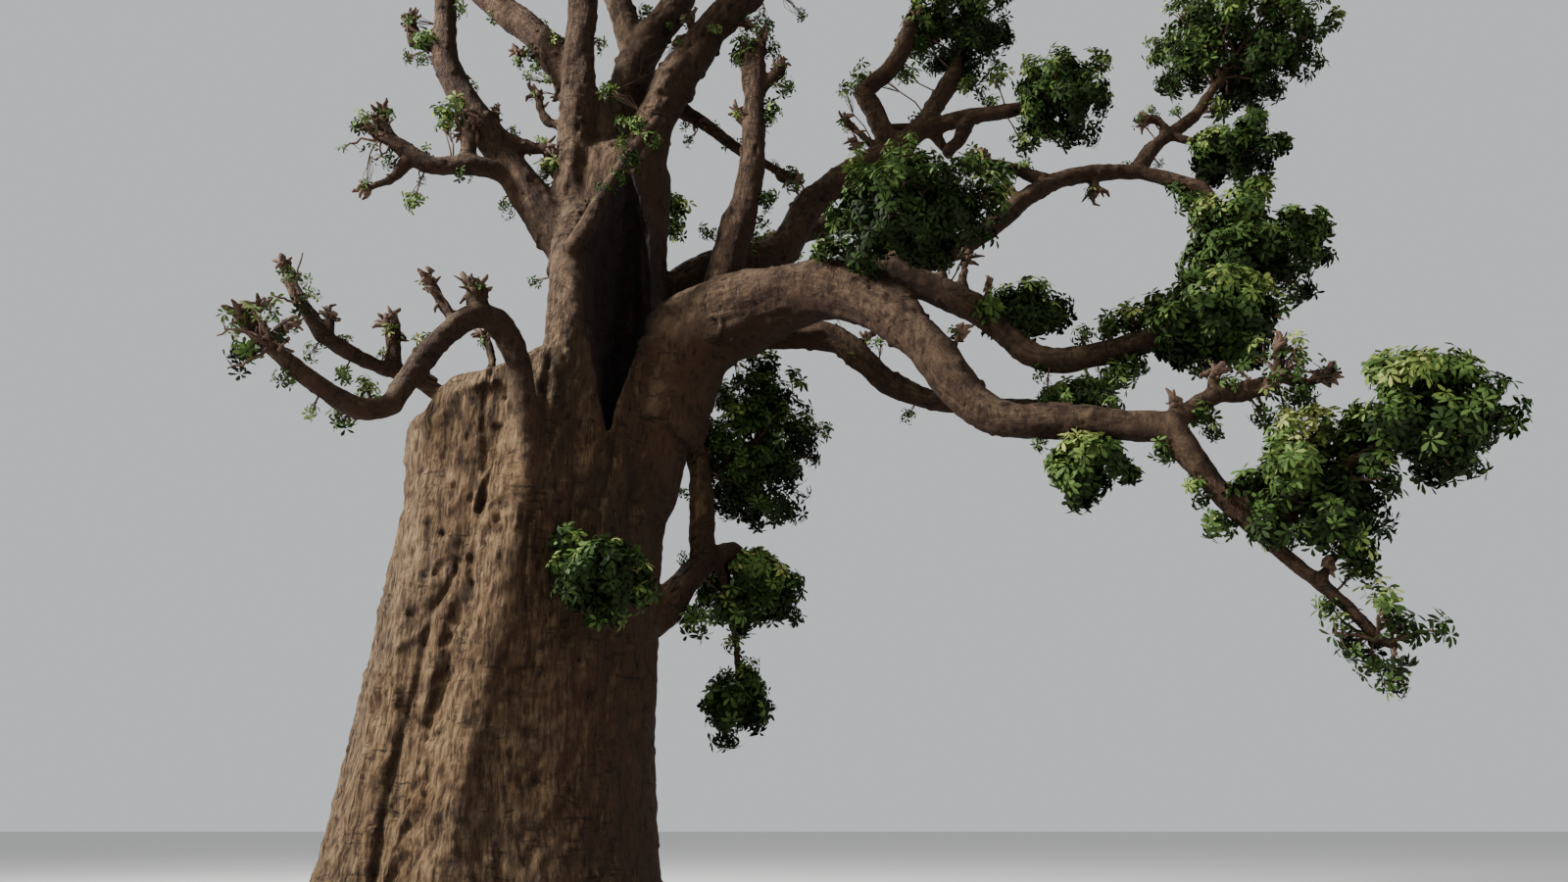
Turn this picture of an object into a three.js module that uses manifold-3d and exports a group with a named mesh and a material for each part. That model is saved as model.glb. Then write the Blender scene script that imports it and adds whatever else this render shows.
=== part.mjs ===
// An African baobab rooted in the ground: a stout trunk whose head is open in a tall hollow, heavy limbs
// cut back again and again, and round masses of leaves at their ends. Millimetres, +Z up, origin in the
// middle of the foot, on the ground.

import * as THREE from "three";
import { mergeVertices } from "three/addons/utils/BufferGeometryUtils.js";
import Module from "manifold-3d";

const wasm = await Module();
wasm.setup();

// The trunk's driving dimensions.
const FOOT_RADIUS = 2150; // over the root flare, at the ground
const WAIST_RADIUS = 1560; // what the radius falls to above the flare
const FLARE_HEIGHT = 1900; // over which the flare dies away
const FOOT_OFFSET = -100; // the foot's middle from the origin, along X
const LEAN = 0.000008; // the trunk's middle moves to +X by this times the height squared
const TRUNK_DEPTH = 0.96; // front to back, as a share of the width
const RIM_HEIGHT = 7250; // the broken shoulder that the head rises from
const RIM_RISE_RIGHT = 560;
const RIM_RISE_BACK = 200;
const LIP_ANGLE = 190; // where the broken edge stands out, in degrees as for the ridges
const LIP_WIDE = 32;
const LIP_RISE = 0.12; // as a share of the radius there
const RIM_CLOSE = 0.7; // the radius of the shoulder's broken top, as a share of what it is at the rim
const RIM_CROWN = 160; // how far that top stands over the rim
const TRUNK_SIDES = 28;
const TRUNK_STEPS = 9;
const RING_CROWDING = 1.25; // above 1, the rings lie closer together near the ground

// Swellings and folds that run up the trunk. Angles are in degrees round +Z from +X, and the front is at
// -90. turn is how far the ridge turns on its way up, and low and high are its rise at the foot and at the
// rim.
const RIDGES = [
  { foot: 178, turn: 6, wide: 26, low: 0.04, high: 0 },
  { foot: -134, turn: 14, wide: 15, low: 0.07, high: 0.04 },
  { foot: -113, turn: 18, wide: 9, low: -0.1, high: -0.06 },
  { foot: -96, turn: 18, wide: 13, low: 0.08, high: 0.07 },
  { foot: -48, turn: 4, wide: 20, low: 0.05, high: -0.02 },
  { foot: -4, turn: 10, wide: 20, low: 0.05, high: 0.12 },
  { foot: 28, turn: -2, wide: 9, low: -0.05, high: -0.03 },
  { foot: 48, turn: -6, wide: 20, low: 0.1, high: 0.03 },
  { foot: 92, turn: 8, wide: 20, low: 0.08, high: 0.02 },
  { foot: 118, turn: 6, wide: 10, low: -0.06, high: -0.03 },
  { foot: 140, turn: 4, wide: 18, low: 0.1, high: 0.02 },
];

// The head of the trunk, from inside the shoulder up to its fork, and the swelling that the great right
// limb springs from. way is the line of the middle, and base and tip are the radii at its ends.
const HEAD = {
  way: [[760, 60, 5600], [930, 60, 8000], [1000, 100, 9300], [1010, 150, 10500]],
  base: 960,
  tip: 730,
};
const HEAD_CAP = {
  way: [[1010, 150, 10300], [1030, 220, 11000]],
  base: 750,
  tip: 420,
};
const RIGHT_SWELLING = {
  way: [[800, 100, 5000], [1380, 60, 6650], [2100, -160, 7820]],
  base: 1080,
  tip: 640,
};

// The open hollow in the head's front: a tall lens, pointed at its foot.
const HOLLOW_FOOT = 5950;
const HOLLOW_HEIGHT = 4300;
const HOLLOW_MIDDLE = [1215, -930];
const HOLLOW_HALF_WIDTH = 440;
const HOLLOW_HALF_DEPTH = 1050;
const HOLLOW_SIDES = 10;
const HOLLOW_STEPS = 6;
const HOLLOW_FULLNESS = 1.3; // above 1, the widest part lies above the middle
const HOLLOW_ENDS = 0.02; // how blunt the two ends are

// Limbs.
const LIMB_STEP = 2400; // a limb has one more ring for each of these, beside one for each bend
const STOUT_LIMB = 240; // a base radius from which a limb has more sides
const STOUT_SIDES = 8;
const SLIM_SIDES = 6;
const COLLAR = 1.35; // above 1, a limb thins faster near its base
const GAP = 0.3; // between pieces that meet

// Leaf masses.
const GROWING_ROOM = 25; // what a twig or leaf keeps clear of limbs and other masses
const STEM_SIDES = 4;
const STEM_THICKNESS = 0.07; // a stem's radius at its root, as a share of its mass's reach
const STEM_LEAST = 45;
const STEM_MOST = 130;
const STEM_TAPER = 0.5;
const STEM_BEYOND = 0.45; // how far a stem runs on past its last spot, as a share of the room ahead
const TWIG_SIDES = 3;
const TWIG_REACH = 0.62; // how far a twig goes, as a share of its mass's reach
const TWIG_UNEVEN = 0.08;
const TWIG_STEPS = 20; // along a stem, in looking for where its mass begins
const TWIGS_FROM = 0.8; // how near the middle the first twig grows, as a share of the reach
const LAST_TWIG = 0.96; // where along its stem the last twig grows
const SIDE_LEAF_AT = 0.55; // where along its twig a side leaf grows
const LEAF_TURN = 0.55; // how far a leaf turns from straight outwards, as a slope
const LEAF_LENGTH = 900; // the most, each leaf standing for a spray
const LEAF_LEAST = 260;
const LEAF_WIDTH = 0.52; // as a share of the length
const LEAF_THICKNESS = 0.1;
const LEAF_WIDEST_AT = 0.42; // along its length
const LEAF_ROOTS = 0.95; // how far out in a core the leaves are rooted
const LEAF_SUNK = 0.13; // how deep a leaf is sunk in a core, as a share of the core's size
const TWIG_SUNK = 1.4; // how deep a leaf is sunk in its twig, as a share of the twig's radius there
const TWIG_THICKNESS = 0.42; // a twig's radius at its root, as a share of its stem's
const TWIG_TAPER = 0.6;
const DROOP = 0.2;
const CORE_SHARE = 0.56; // a dense mass's core, as a share of its reach
const CORE_LUMPS = 0.15;

const SEED = 7919;
const WELD = 0.01; // corners closer than this are one
const Y_AXIS = new THREE.Vector3(0, 1, 0);
const GOLDEN_TURN = Math.PI * (3 - Math.sqrt(5));

const BARK = { color: 0x8a7260, roughness: 0.92, metalness: 0 };
const LEAF = { color: 0x3f5f2c, roughness: 0.6, metalness: 0 };

// The limbs, each after the one that it grows from. The numbers are the line of the middle, from inside the
// piece that carries it, and the radii at the two ends.
const LIMBS = [
  {
    name: "right_low_bough",
    way: [
      [1500, 100, 6700], [2100, -80, 7800], [3000, -650, 8040],
      [3850, -1320, 7980], [4600, -2050, 7390], [5090, -2540, 6590],
    ],
    base: 880,
    tip: 250,
    collar: 1.7,
  },
  {
    name: "right_low_bend",
    way: [
      [5090, -2540, 6590], [5580, -3000, 5680], [6200, -3330, 5540],
      [6830, -3600, 5370], [7200, -3800, 5270],
    ],
    base: 250,
    tip: 165,
  },
  {
    name: "right_low_droop",
    way: [[7200, -3800, 5270], [7400, -3900, 4820], [7990, -4100, 3890], [8480, -4290, 3370]],
    base: 165,
    tip: 75,
  },
  {
    name: "right_low_side",
    way: [[7140, -3760, 5290], [7720, -3700, 5640], [8050, -3650, 5740]],
    base: 130,
    tip: 90,
  },
  {
    name: "right_outer_spur",
    way: [[7560, -3960, 4520], [8160, -4300, 4420], [8560, -4540, 4700]],
    base: 130,
    tip: 75,
  },
  {
    name: "right_second_bough",
    way: [
      [3850, -1330, 7900], [4500, -1290, 8230], [5300, -1300, 8000], [5930, -1400, 7580],
      [6500, -1620, 6920], [7150, -1960, 6840], [7600, -2150, 6910],
    ],
    base: 240,
    tip: 140,
  },
  {
    name: "right_third_bough",
    way: [
      [4450, -1270, 8300], [5330, -1000, 8620], [6020, -800, 9050], [6800, -640, 9780],
      [7430, -500, 10140], [8360, -400, 10260], [9150, -620, 9880],
    ],
    base: 190,
    tip: 100,
  },
  {
    name: "right_third_fork",
    way: [[8320, -400, 10240], [8750, -200, 10840], [9100, -70, 11160], [9450, 0, 11450]],
    base: 120,
    tip: 90,
  },
  {
    name: "right_top_bough",
    way: [
      [1300, 450, 8500], [2590, 900, 9450], [3300, 1100, 9800], [3820, 1280, 10720],
      [4350, 1400, 11280], [5480, 1500, 12130], [6250, 1680, 13450],
    ],
    base: 380,
    tip: 150,
  },
  {
    name: "right_top_side",
    way: [[5450, 1520, 12180], [6280, 1300, 12320], [6980, 1100, 12320]],
    base: 160,
    tip: 125,
  },
  {
    name: "right_back_bough",
    way: [
      [1700, 400, 7600], [2600, 420, 8110], [3400, 320, 8130], [4120, 300, 8020],
      [4850, 60, 7260], [5520, -250, 6880], [6500, -900, 6560],
    ],
    base: 300,
    tip: 110,
  },
  {
    name: "lower_right_bough",
    way: [
      [1200, 300, 3800], [1770, 400, 4200], [2150, 650, 4730],
      [2400, 850, 5000], [2700, 1080, 5170],
    ],
    base: 330,
    tip: 140,
  },
  {
    name: "right_post",
    way: [
      [2400, 150, 8300], [2700, 100, 9550], [2890, 80, 10350],
      [2970, 100, 12020], [2990, 100, 12450],
    ],
    base: 295,
    tip: 145,
  },
  {
    name: "front_slant_limb",
    way: [[330, -560, 8100], [680, -1040, 8850], [1060, -1160, 9530], [1690, -1200, 10600]],
    base: 175,
    tip: 90,
  },
  {
    name: "left_stem",
    way: [
      [470, -230, 8700], [430, -290, 10740], [390, -300, 12420],
      [400, -380, 13290], [280, -900, 14700], [60, -1500, 15900],
    ],
    base: 340,
    tip: 170,
  },
  {
    name: "right_stem",
    way: [
      [1050, 400, 9900], [1010, 520, 11680], [1100, 760, 13080],
      [1610, 950, 14200], [2010, 1200, 15700],
    ],
    base: 460,
    tip: 210,
  },
  {
    name: "right_stem_fork",
    way: [[1090, 740, 13000], [780, 860, 14020], [480, 1100, 15000], [150, 1500, 16200]],
    base: 250,
    tip: 150,
  },
  {
    name: "right_crown_bough",
    way: [
      [1300, 0, 9500], [1350, -20, 10700], [1600, 40, 11700],
      [1970, 200, 12620], [2590, 300, 13650], [3400, 400, 14640],
    ],
    base: 380,
    tip: 240,
  },
  {
    name: "right_back_limb",
    way: [
      [1080, 700, 12700], [1640, 1200, 12500], [2140, 1400, 12260],
      [2690, 1500, 11860], [3480, 1700, 11500],
    ],
    base: 150,
    tip: 80,
  },
  {
    name: "left_crown_bough",
    way: [
      [950, 40, 10700], [500, 0, 11610], [100, 0, 12300],
      [-440, 200, 13070], [-1230, 400, 13880], [-2110, 500, 14730],
    ],
    base: 345,
    tip: 175,
  },
  {
    name: "left_top_bough",
    way: [
      [700, -100, 8800], [120, -300, 9560], [-470, -400, 10360], [-1070, -500, 11260],
      [-1470, -600, 12020], [-1540, -700, 12960], [-1850, -980, 14000],
    ],
    base: 345,
    tip: 140,
  },
  {
    name: "left_top_side",
    way: [[-380, -420, 10200], [-900, -700, 10190], [-1440, -820, 10120], [-1900, -900, 10400]],
    base: 170,
    tip: 110,
  },
  {
    name: "left_front_bough",
    way: [
      [500, -1420, 5000], [480, -1800, 6300], [180, -2020, 7080],
      [-130, -2300, 7180], [-460, -2650, 6700], [-740, -3150, 5740],
    ],
    base: 230,
    tip: 150,
  },
  {
    name: "left_front_reach",
    way: [[-740, -3150, 5740], [-960, -3300, 5640], [-1280, -3470, 5790], [-1590, -3600, 5990]],
    base: 150,
    tip: 115,
  },
  {
    name: "left_shoulder_bough",
    way: [
      [-450, -420, 6150], [-780, -800, 6600], [-1310, -1000, 6930],
      [-1710, -1300, 6990], [-2230, -1620, 7210],
    ],
    base: 185,
    tip: 120,
  },
  {
    name: "back_low_bough",
    way: [[-100, 1000, 6000], [-400, 2400, 7000], [-700, 3800, 7000], [-850, 4800, 6800]],
    base: 420,
    tip: 180,
  },
  {
    name: "back_high_bough",
    way: [[900, 500, 8900], [620, 1700, 10100], [300, 3100, 10600], [190, 4100, 11000]],
    base: 380,
    tip: 170,
  },
  {
    name: "back_right_bough",
    way: [[1500, 800, 8300], [2540, 2000, 9900], [3400, 2900, 11000], [4500, 3600, 11800]],
    base: 400,
    tip: 170,
  },
];

// The masses of leaves. stem starts inside the limb that carries the mass. middle and reach are the space
// that the mass keeps to, and leaves is how many are tried. A dense mass has a core that its leaves stand
// out of.
const MASSES = [
  {
    name: "leaves_near_clump",
    stem: [[3900, -1420, 8000], [4300, -2050, 8260]],
    middle: [4890, -2600, 8400],
    reach: [1180, 950, 900],
    leaves: 26,
    dense: true,
  },
  {
    name: "leaves_top_spray",
    stem: [[6250, 1680, 13450]],
    middle: [6420, 1800, 14500],
    reach: [1130, 950, 1250],
    leaves: 18,
    dense: true,
  },
  {
    name: "leaves_top_side",
    stem: [[6980, 1100, 12320]],
    middle: [7830, 900, 12420],
    reach: [900, 850, 1050],
    leaves: 19,
    dense: true,
  },
  {
    name: "leaves_far_top",
    stem: [[9450, 0, 11450], [9900, 100, 12100]],
    middle: [10400, 200, 12850],
    reach: [1750, 1250, 1050],
    leaves: 29,
    dense: true,
  },
  {
    name: "leaves_far_upper",
    stem: [[9000, -110, 11060]],
    middle: [9850, -350, 10620],
    reach: [820, 750, 520],
    leaves: 12,
    dense: true,
  },
  {
    name: "leaves_far_middle",
    stem: [[9150, -620, 9880]],
    middle: [9600, -900, 8780],
    reach: [1050, 950, 1000],
    leaves: 24,
    dense: true,
  },
  {
    name: "leaves_far_lower",
    stem: [[7600, -2150, 6910]],
    middle: [8420, -2500, 7020],
    reach: [1000, 780, 600],
    leaves: 19,
    dense: true,
  },
  {
    name: "leaves_side_spray",
    stem: [[8050, -3650, 5740], [8500, -3560, 5900]],
    middle: [8560, -3550, 5960],
    reach: [680, 560, 480],
    leaves: 10,
  },
  {
    name: "leaves_outer_high",
    stem: [[8560, -4540, 4700]],
    middle: [9180, -4800, 5060],
    reach: [800, 750, 700],
    leaves: 21,
    dense: true,
  },
  {
    name: "leaves_outer_low",
    stem: [[7900, -4060, 4030]],
    middle: [8270, -4360, 4520],
    reach: [850, 680, 760],
    leaves: 20,
    dense: true,
  },
  {
    name: "leaves_droop_tip",
    stem: [[8480, -4290, 3370], [8720, -4380, 3160]],
    middle: [8650, -4380, 3230],
    reach: [600, 460, 450],
    leaves: 8,
  },
  {
    name: "leaves_under_bend",
    stem: [[6380, -3410, 5500], [6450, -3420, 5150]],
    middle: [6460, -3420, 4920],
    reach: [460, 400, 430],
    leaves: 8,
  },
  {
    name: "leaves_second_bough",
    stem: [[6150, -1480, 7240], [6280, -1480, 7550]],
    middle: [6420, -1480, 7640],
    reach: [700, 480, 430],
    leaves: 8,
  },
  {
    name: "leaves_back_bough",
    stem: [[6500, -900, 6560], [6900, -1150, 6500]],
    middle: [7050, -1250, 6420],
    reach: [560, 480, 420],
    leaves: 8,
  },
  {
    name: "leaves_lower_high",
    stem: [[2180, 660, 4760], [2230, 800, 5410], [2250, 950, 6140]],
    middle: [3000, 1550, 6780],
    reach: [980, 850, 1720],
    leaves: 26,
    dense: true,
  },
  {
    name: "leaves_lower_hanging",
    stem: [[2480, 900, 5040], [2640, 1000, 4500], [2760, 1200, 3800], [2790, 1290, 3200]],
    middle: [2700, 1300, 3060],
    reach: [560, 480, 560],
    leaves: 10,
  },
  {
    name: "leaves_lower_right",
    stem: [[2700, 1080, 5170]],
    middle: [2980, 1450, 4640],
    reach: [820, 750, 640],
    leaves: 18,
    dense: true,
  },
  {
    name: "leaves_trunk_front",
    stem: [[900, -1000, 4150]],
    middle: [1330, -1680, 4200],
    reach: [680, 500, 540],
    leaves: 13,
    dense: true,
  },
  {
    name: "leaves_post",
    stem: [[2980, 100, 12450], [2990, 100, 12850]],
    middle: [2990, 100, 12900],
    reach: [450, 450, 480],
    leaves: 6,
  },
  {
    name: "leaves_right_crown",
    stem: [[3400, 400, 14640]],
    middle: [4250, 150, 15900],
    reach: [1500, 1300, 1150],
    leaves: 18,
    dense: true,
  },
  {
    name: "leaves_right_stem",
    stem: [[2010, 1200, 15700]],
    middle: [2350, 1700, 16900],
    reach: [1400, 1350, 1050],
    leaves: 16,
    dense: true,
  },
  {
    name: "leaves_left_fork",
    stem: [[150, 1500, 16200]],
    middle: [-250, 2100, 17150],
    reach: [1250, 1200, 950],
    leaves: 14,
    dense: true,
  },
  {
    name: "leaves_left_stem",
    stem: [[60, -1500, 15900]],
    middle: [-150, -2100, 16950],
    reach: [1450, 1350, 1100],
    leaves: 16,
    dense: true,
  },
  {
    name: "leaves_left_crown",
    stem: [[-2110, 500, 14730]],
    middle: [-3050, 420, 15750],
    reach: [1450, 1250, 1050],
    leaves: 16,
    dense: true,
  },
  {
    name: "leaves_left_top",
    stem: [[-1850, -980, 14000]],
    middle: [-2350, -1600, 14950],
    reach: [1050, 1050, 800],
    leaves: 14,
    dense: true,
  },
  {
    name: "leaves_left_side",
    stem: [[-1900, -900, 10400], [-2200, -950, 10480]],
    middle: [-2280, -970, 10420],
    reach: [480, 420, 560],
    leaves: 6,
  },
  {
    name: "leaves_left_front",
    stem: [[-1590, -3600, 5990], [-1900, -3750, 6250]],
    middle: [-1960, -3780, 6280],
    reach: [560, 460, 620],
    leaves: 8,
  },
  {
    name: "leaves_left_shoulder",
    stem: [[-2230, -1620, 7210], [-2480, -1900, 7600]],
    middle: [-2520, -1950, 7760],
    reach: [380, 380, 500],
    leaves: 6,
  },
  {
    name: "leaves_back_low",
    stem: [[-850, 4800, 6800]],
    middle: [-900, 6100, 6800],
    reach: [1750, 1500, 1400],
    leaves: 22,
    dense: true,
  },
  {
    name: "leaves_back_high",
    stem: [[190, 4100, 11000]],
    middle: [160, 5000, 11450],
    reach: [1050, 1100, 950],
    leaves: 16,
    dense: true,
  },
  {
    name: "leaves_back_right",
    stem: [[4500, 3600, 11800]],
    middle: [5750, 4050, 12200],
    reach: [1400, 1250, 1150],
    leaves: 19,
    dense: true,
  },
];

// A closed solid for joining and cutting.
function solid(geometry) {
  geometry.deleteAttribute("normal");
  geometry.deleteAttribute("uv");
  const merged = mergeVertices(geometry, WELD);
  return new wasm.Manifold(
    new wasm.Mesh({
      numProp: 3,
      vertProperties: new Float32Array(merged.attributes.position.array),
      triVerts: new Uint32Array(merged.index.array),
    }),
  );
}

// The largest closed body of a solid, with no scraps and no sealed hollows.
function wholeBody(body) {
  return body.decompose().reduce((most, piece) => (piece.volume() > most.volume() ? piece : most));
}

// A seeded stream of numbers between -1 and 1.
function seededRandom(seed) {
  let state = seed;
  return () => {
    state = (state * 1664525 + 1013904223) % 2 ** 32;
    return (state / 2 ** 32) * 2 - 1;
  };
}

// A closed round solid whose skin is placed by a rule. level runs from 0 at the foot to 1 at the head, and
// share is 1 on the skin and 0 in the middle of the two ends.
function roundSolid(sides, steps, place) {
  const shape = new THREE.CylinderGeometry(1, 1, 1, sides, steps);
  const spots = shape.attributes.position;
  for (let i = 0; i < spots.count; i += 1) {
    const share = Math.hypot(spots.getX(i), spots.getZ(i));
    const angle = Math.atan2(-spots.getZ(i), spots.getX(i));
    spots.setXYZ(i, ...place(angle, spots.getY(i) + 0.5, share));
  }
  return solid(shape);
}

function curveThrough(way) {
  return new THREE.CatmullRomCurve3(way.map((spot) => new THREE.Vector3(...spot)), false, "centripetal");
}

function sidesFor(base) {
  return base < STOUT_LIMB ? SLIM_SIDES : STOUT_SIDES;
}

// A tapering round limb along its way. grow makes it thicker and longer all round, for cutting others
// clear of it.
function limb({ way, base, tip, collar = COLLAR, sides = sidesFor(base) }, grow = 0) {
  const curve = curveThrough(way);
  const steps = Math.max(2, Math.round(curve.getLength() / LIMB_STEP) + way.length - 2);
  const frames = curve.computeFrenetFrames(steps);
  return roundSolid(sides, steps, (angle, level, share) => {
    const ring = Math.round(level * steps);
    const radius = (tip + (base - tip) * (1 - level) ** collar + grow) * share;
    const ends = (ring === steps) - (ring === 0);
    return curve
      .getPointAt(level)
      .addScaledVector(frames.normals[ring], Math.cos(angle) * radius)
      .addScaledVector(frames.binormals[ring], Math.sin(angle) * radius)
      .addScaledVector(frames.tangents[ring], ends * grow)
      .toArray();
  });
}

// 1 where an angle meets a ridge's middle, falling to 0 at its sides. All are in degrees.
function nearRidge(angle, ridge, wide) {
  const away = THREE.MathUtils.euclideanModulo(angle - ridge + 180, 360) - 180;
  return Math.exp(-((away / wide) ** 2));
}

// The trunk's width at an angle in degrees, as a share of its plain width, with all its ridges and folds.
function ridged(angle, level) {
  return RIDGES.reduce((width, { foot, turn, wide, low, high }) => {
    return width + THREE.MathUtils.lerp(low, high, level) * nearRidge(angle, foot + turn * level, wide);
  }, 1);
}

// The trunk from the ground to its broken shoulder, which is higher on the right and at the back. The last
// ring closes the shoulder's top.
function trunkBody(grow) {
  return roundSolid(TRUNK_SIDES, TRUNK_STEPS, (angle, level, share) => {
    const degrees = THREE.MathUtils.radToDeg(angle);
    const ring = Math.round(level * TRUNK_STEPS);
    const top = ring === TRUNK_STEPS;
    const rim = RIM_HEIGHT + (RIM_RISE_RIGHT * Math.cos(angle) + RIM_RISE_BACK * Math.sin(angle)) * share;
    const height = top ? rim + RIM_CROWN : rim * (ring / (TRUNK_STEPS - 1)) ** RING_CROWDING;
    const flare = (FOOT_RADIUS - WAIST_RADIUS) * Math.exp(-height / FLARE_HEIGHT);
    const lip = ring < TRUNK_STEPS - 1 ? 0 : LIP_RISE * nearRidge(degrees, LIP_ANGLE, LIP_WIDE);
    const width = (ridged(degrees, level) + lip) * (top ? RIM_CLOSE : 1);
    const radius = ((WAIST_RADIUS + flare) * width + grow) * share;
    const middle = FOOT_OFFSET + LEAN * height ** 2;
    return [middle + Math.cos(angle) * radius, Math.sin(angle) * radius * TRUNK_DEPTH, height + top * grow];
  });
}

function hollow(grow) {
  return roundSolid(HOLLOW_SIDES, HOLLOW_STEPS, (angle, level, share) => {
    const inner = THREE.MathUtils.lerp(HOLLOW_ENDS, 1 - HOLLOW_ENDS, level);
    const fullness = Math.sin(Math.PI * inner ** HOLLOW_FULLNESS);
    const width = (HOLLOW_HALF_WIDTH * fullness - grow) * share;
    const depth = (HOLLOW_HALF_DEPTH * Math.sqrt(fullness) - grow) * share;
    return [
      HOLLOW_MIDDLE[0] + Math.cos(angle) * width,
      HOLLOW_MIDDLE[1] + Math.sin(angle) * depth,
      HOLLOW_FOOT + HOLLOW_HEIGHT * level,
    ];
  });
}

function trunk(grow = 0) {
  const head = [HEAD, HEAD_CAP, RIGHT_SWELLING].map((piece) => limb(piece, grow));
  return wholeBody(wasm.Manifold.union([trunkBody(grow), ...head]).subtract(hollow(grow)));
}

// A spot or direction measured in a mass's reaches, so that the mass's skin is 1 from its middle.
function inReaches(vector, { reach }, middle = [0, 0, 0]) {
  return vector.clone().sub(new THREE.Vector3(...middle)).divide(new THREE.Vector3(...reach));
}

// The distance from a spot inside a mass's space to its skin, along a direction.
function roomAhead(spot, direction, mass) {
  const from = inReaches(spot, mass, mass.middle);
  const along = inReaches(direction, mass);
  const a = along.lengthSq();
  const b = from.dot(along);
  const c = from.lengthSq() - 1;
  return c > 0 ? 0 : (Math.sqrt(b * b - a * c) - b) / a;
}

// Lays a shape that points along +Y, with its foot at the origin, from a spot along a direction.
function laid(shape, from, direction, roll) {
  const turn = new THREE.Quaternion().setFromUnitVectors(Y_AXIS, direction);
  turn.multiply(new THREE.Quaternion().setFromAxisAngle(Y_AXIS, roll));
  return solid(shape.applyMatrix4(new THREE.Matrix4().compose(from, turn, new THREE.Vector3(1, 1, 1))));
}

function twig(from, to, radius) {
  const length = from.distanceTo(to);
  const shape = new THREE.CylinderGeometry(radius * TWIG_TAPER, radius, length, TWIG_SIDES, 1);
  return laid(shape.translate(0, length / 2, 0), from, to.clone().sub(from).normalize(), 0);
}

// A leaf of eight faces, widest a little nearer its root, which is sunk behind the spot that it grows from.
function leaf(spot, direction, length, roll, sunk) {
  const shape = new THREE.OctahedronGeometry(1, 0);
  shape.scale((length * LEAF_WIDTH) / 2, length / 2, (length * LEAF_THICKNESS) / 2);
  const at = shape.attributes.position;
  for (let i = 0; i < at.count; i += 1) {
    const widest = Math.abs(at.getY(i)) < 1 ? LEAF_WIDEST_AT : at.getY(i) / length + 0.5;
    at.setY(i, widest * length - sunk);
  }
  return laid(shape, spot, direction, roll);
}

// A lumpy core for a dense mass.
function core({ middle, reach }, random) {
  const ball = new THREE.OctahedronGeometry(1, 1);
  ball.deleteAttribute("normal");
  ball.deleteAttribute("uv");
  const shape = mergeVertices(ball);
  const at = shape.attributes.position;
  for (let i = 0; i < at.count; i += 1) {
    const size = CORE_SHARE * (1 + CORE_LUMPS * random());
    at.setXYZ(i, ...reach.map((r, axis) => middle[axis] + at.getComponent(i, axis) * r * size));
  }
  return solid(shape);
}

// Directions spread evenly all round.
function evenDirections(count, turned) {
  return Array.from({ length: count }, (_, i) => {
    const height = 1 - (2 * (i + 0.5)) / count;
    const round = i * GOLDEN_TURN + turned;
    const ring = Math.sqrt(1 - height * height);
    return new THREE.Vector3(Math.cos(round) * ring, Math.sin(round) * ring, height);
  });
}

// A stem's line: into the core of a dense mass, or on through the leaves of an open one.
function stemWay(mass) {
  if (mass.dense) {
    return [...mass.stem, mass.middle];
  }
  const [before, last] = mass.stem.slice(-2).map((spot) => new THREE.Vector3(...spot));
  const onward = last.clone().sub(before).normalize();
  const end = last.addScaledVector(onward, STEM_BEYOND * roomAhead(last, onward, mass));
  return [...mass.stem, end.toArray()];
}

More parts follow.
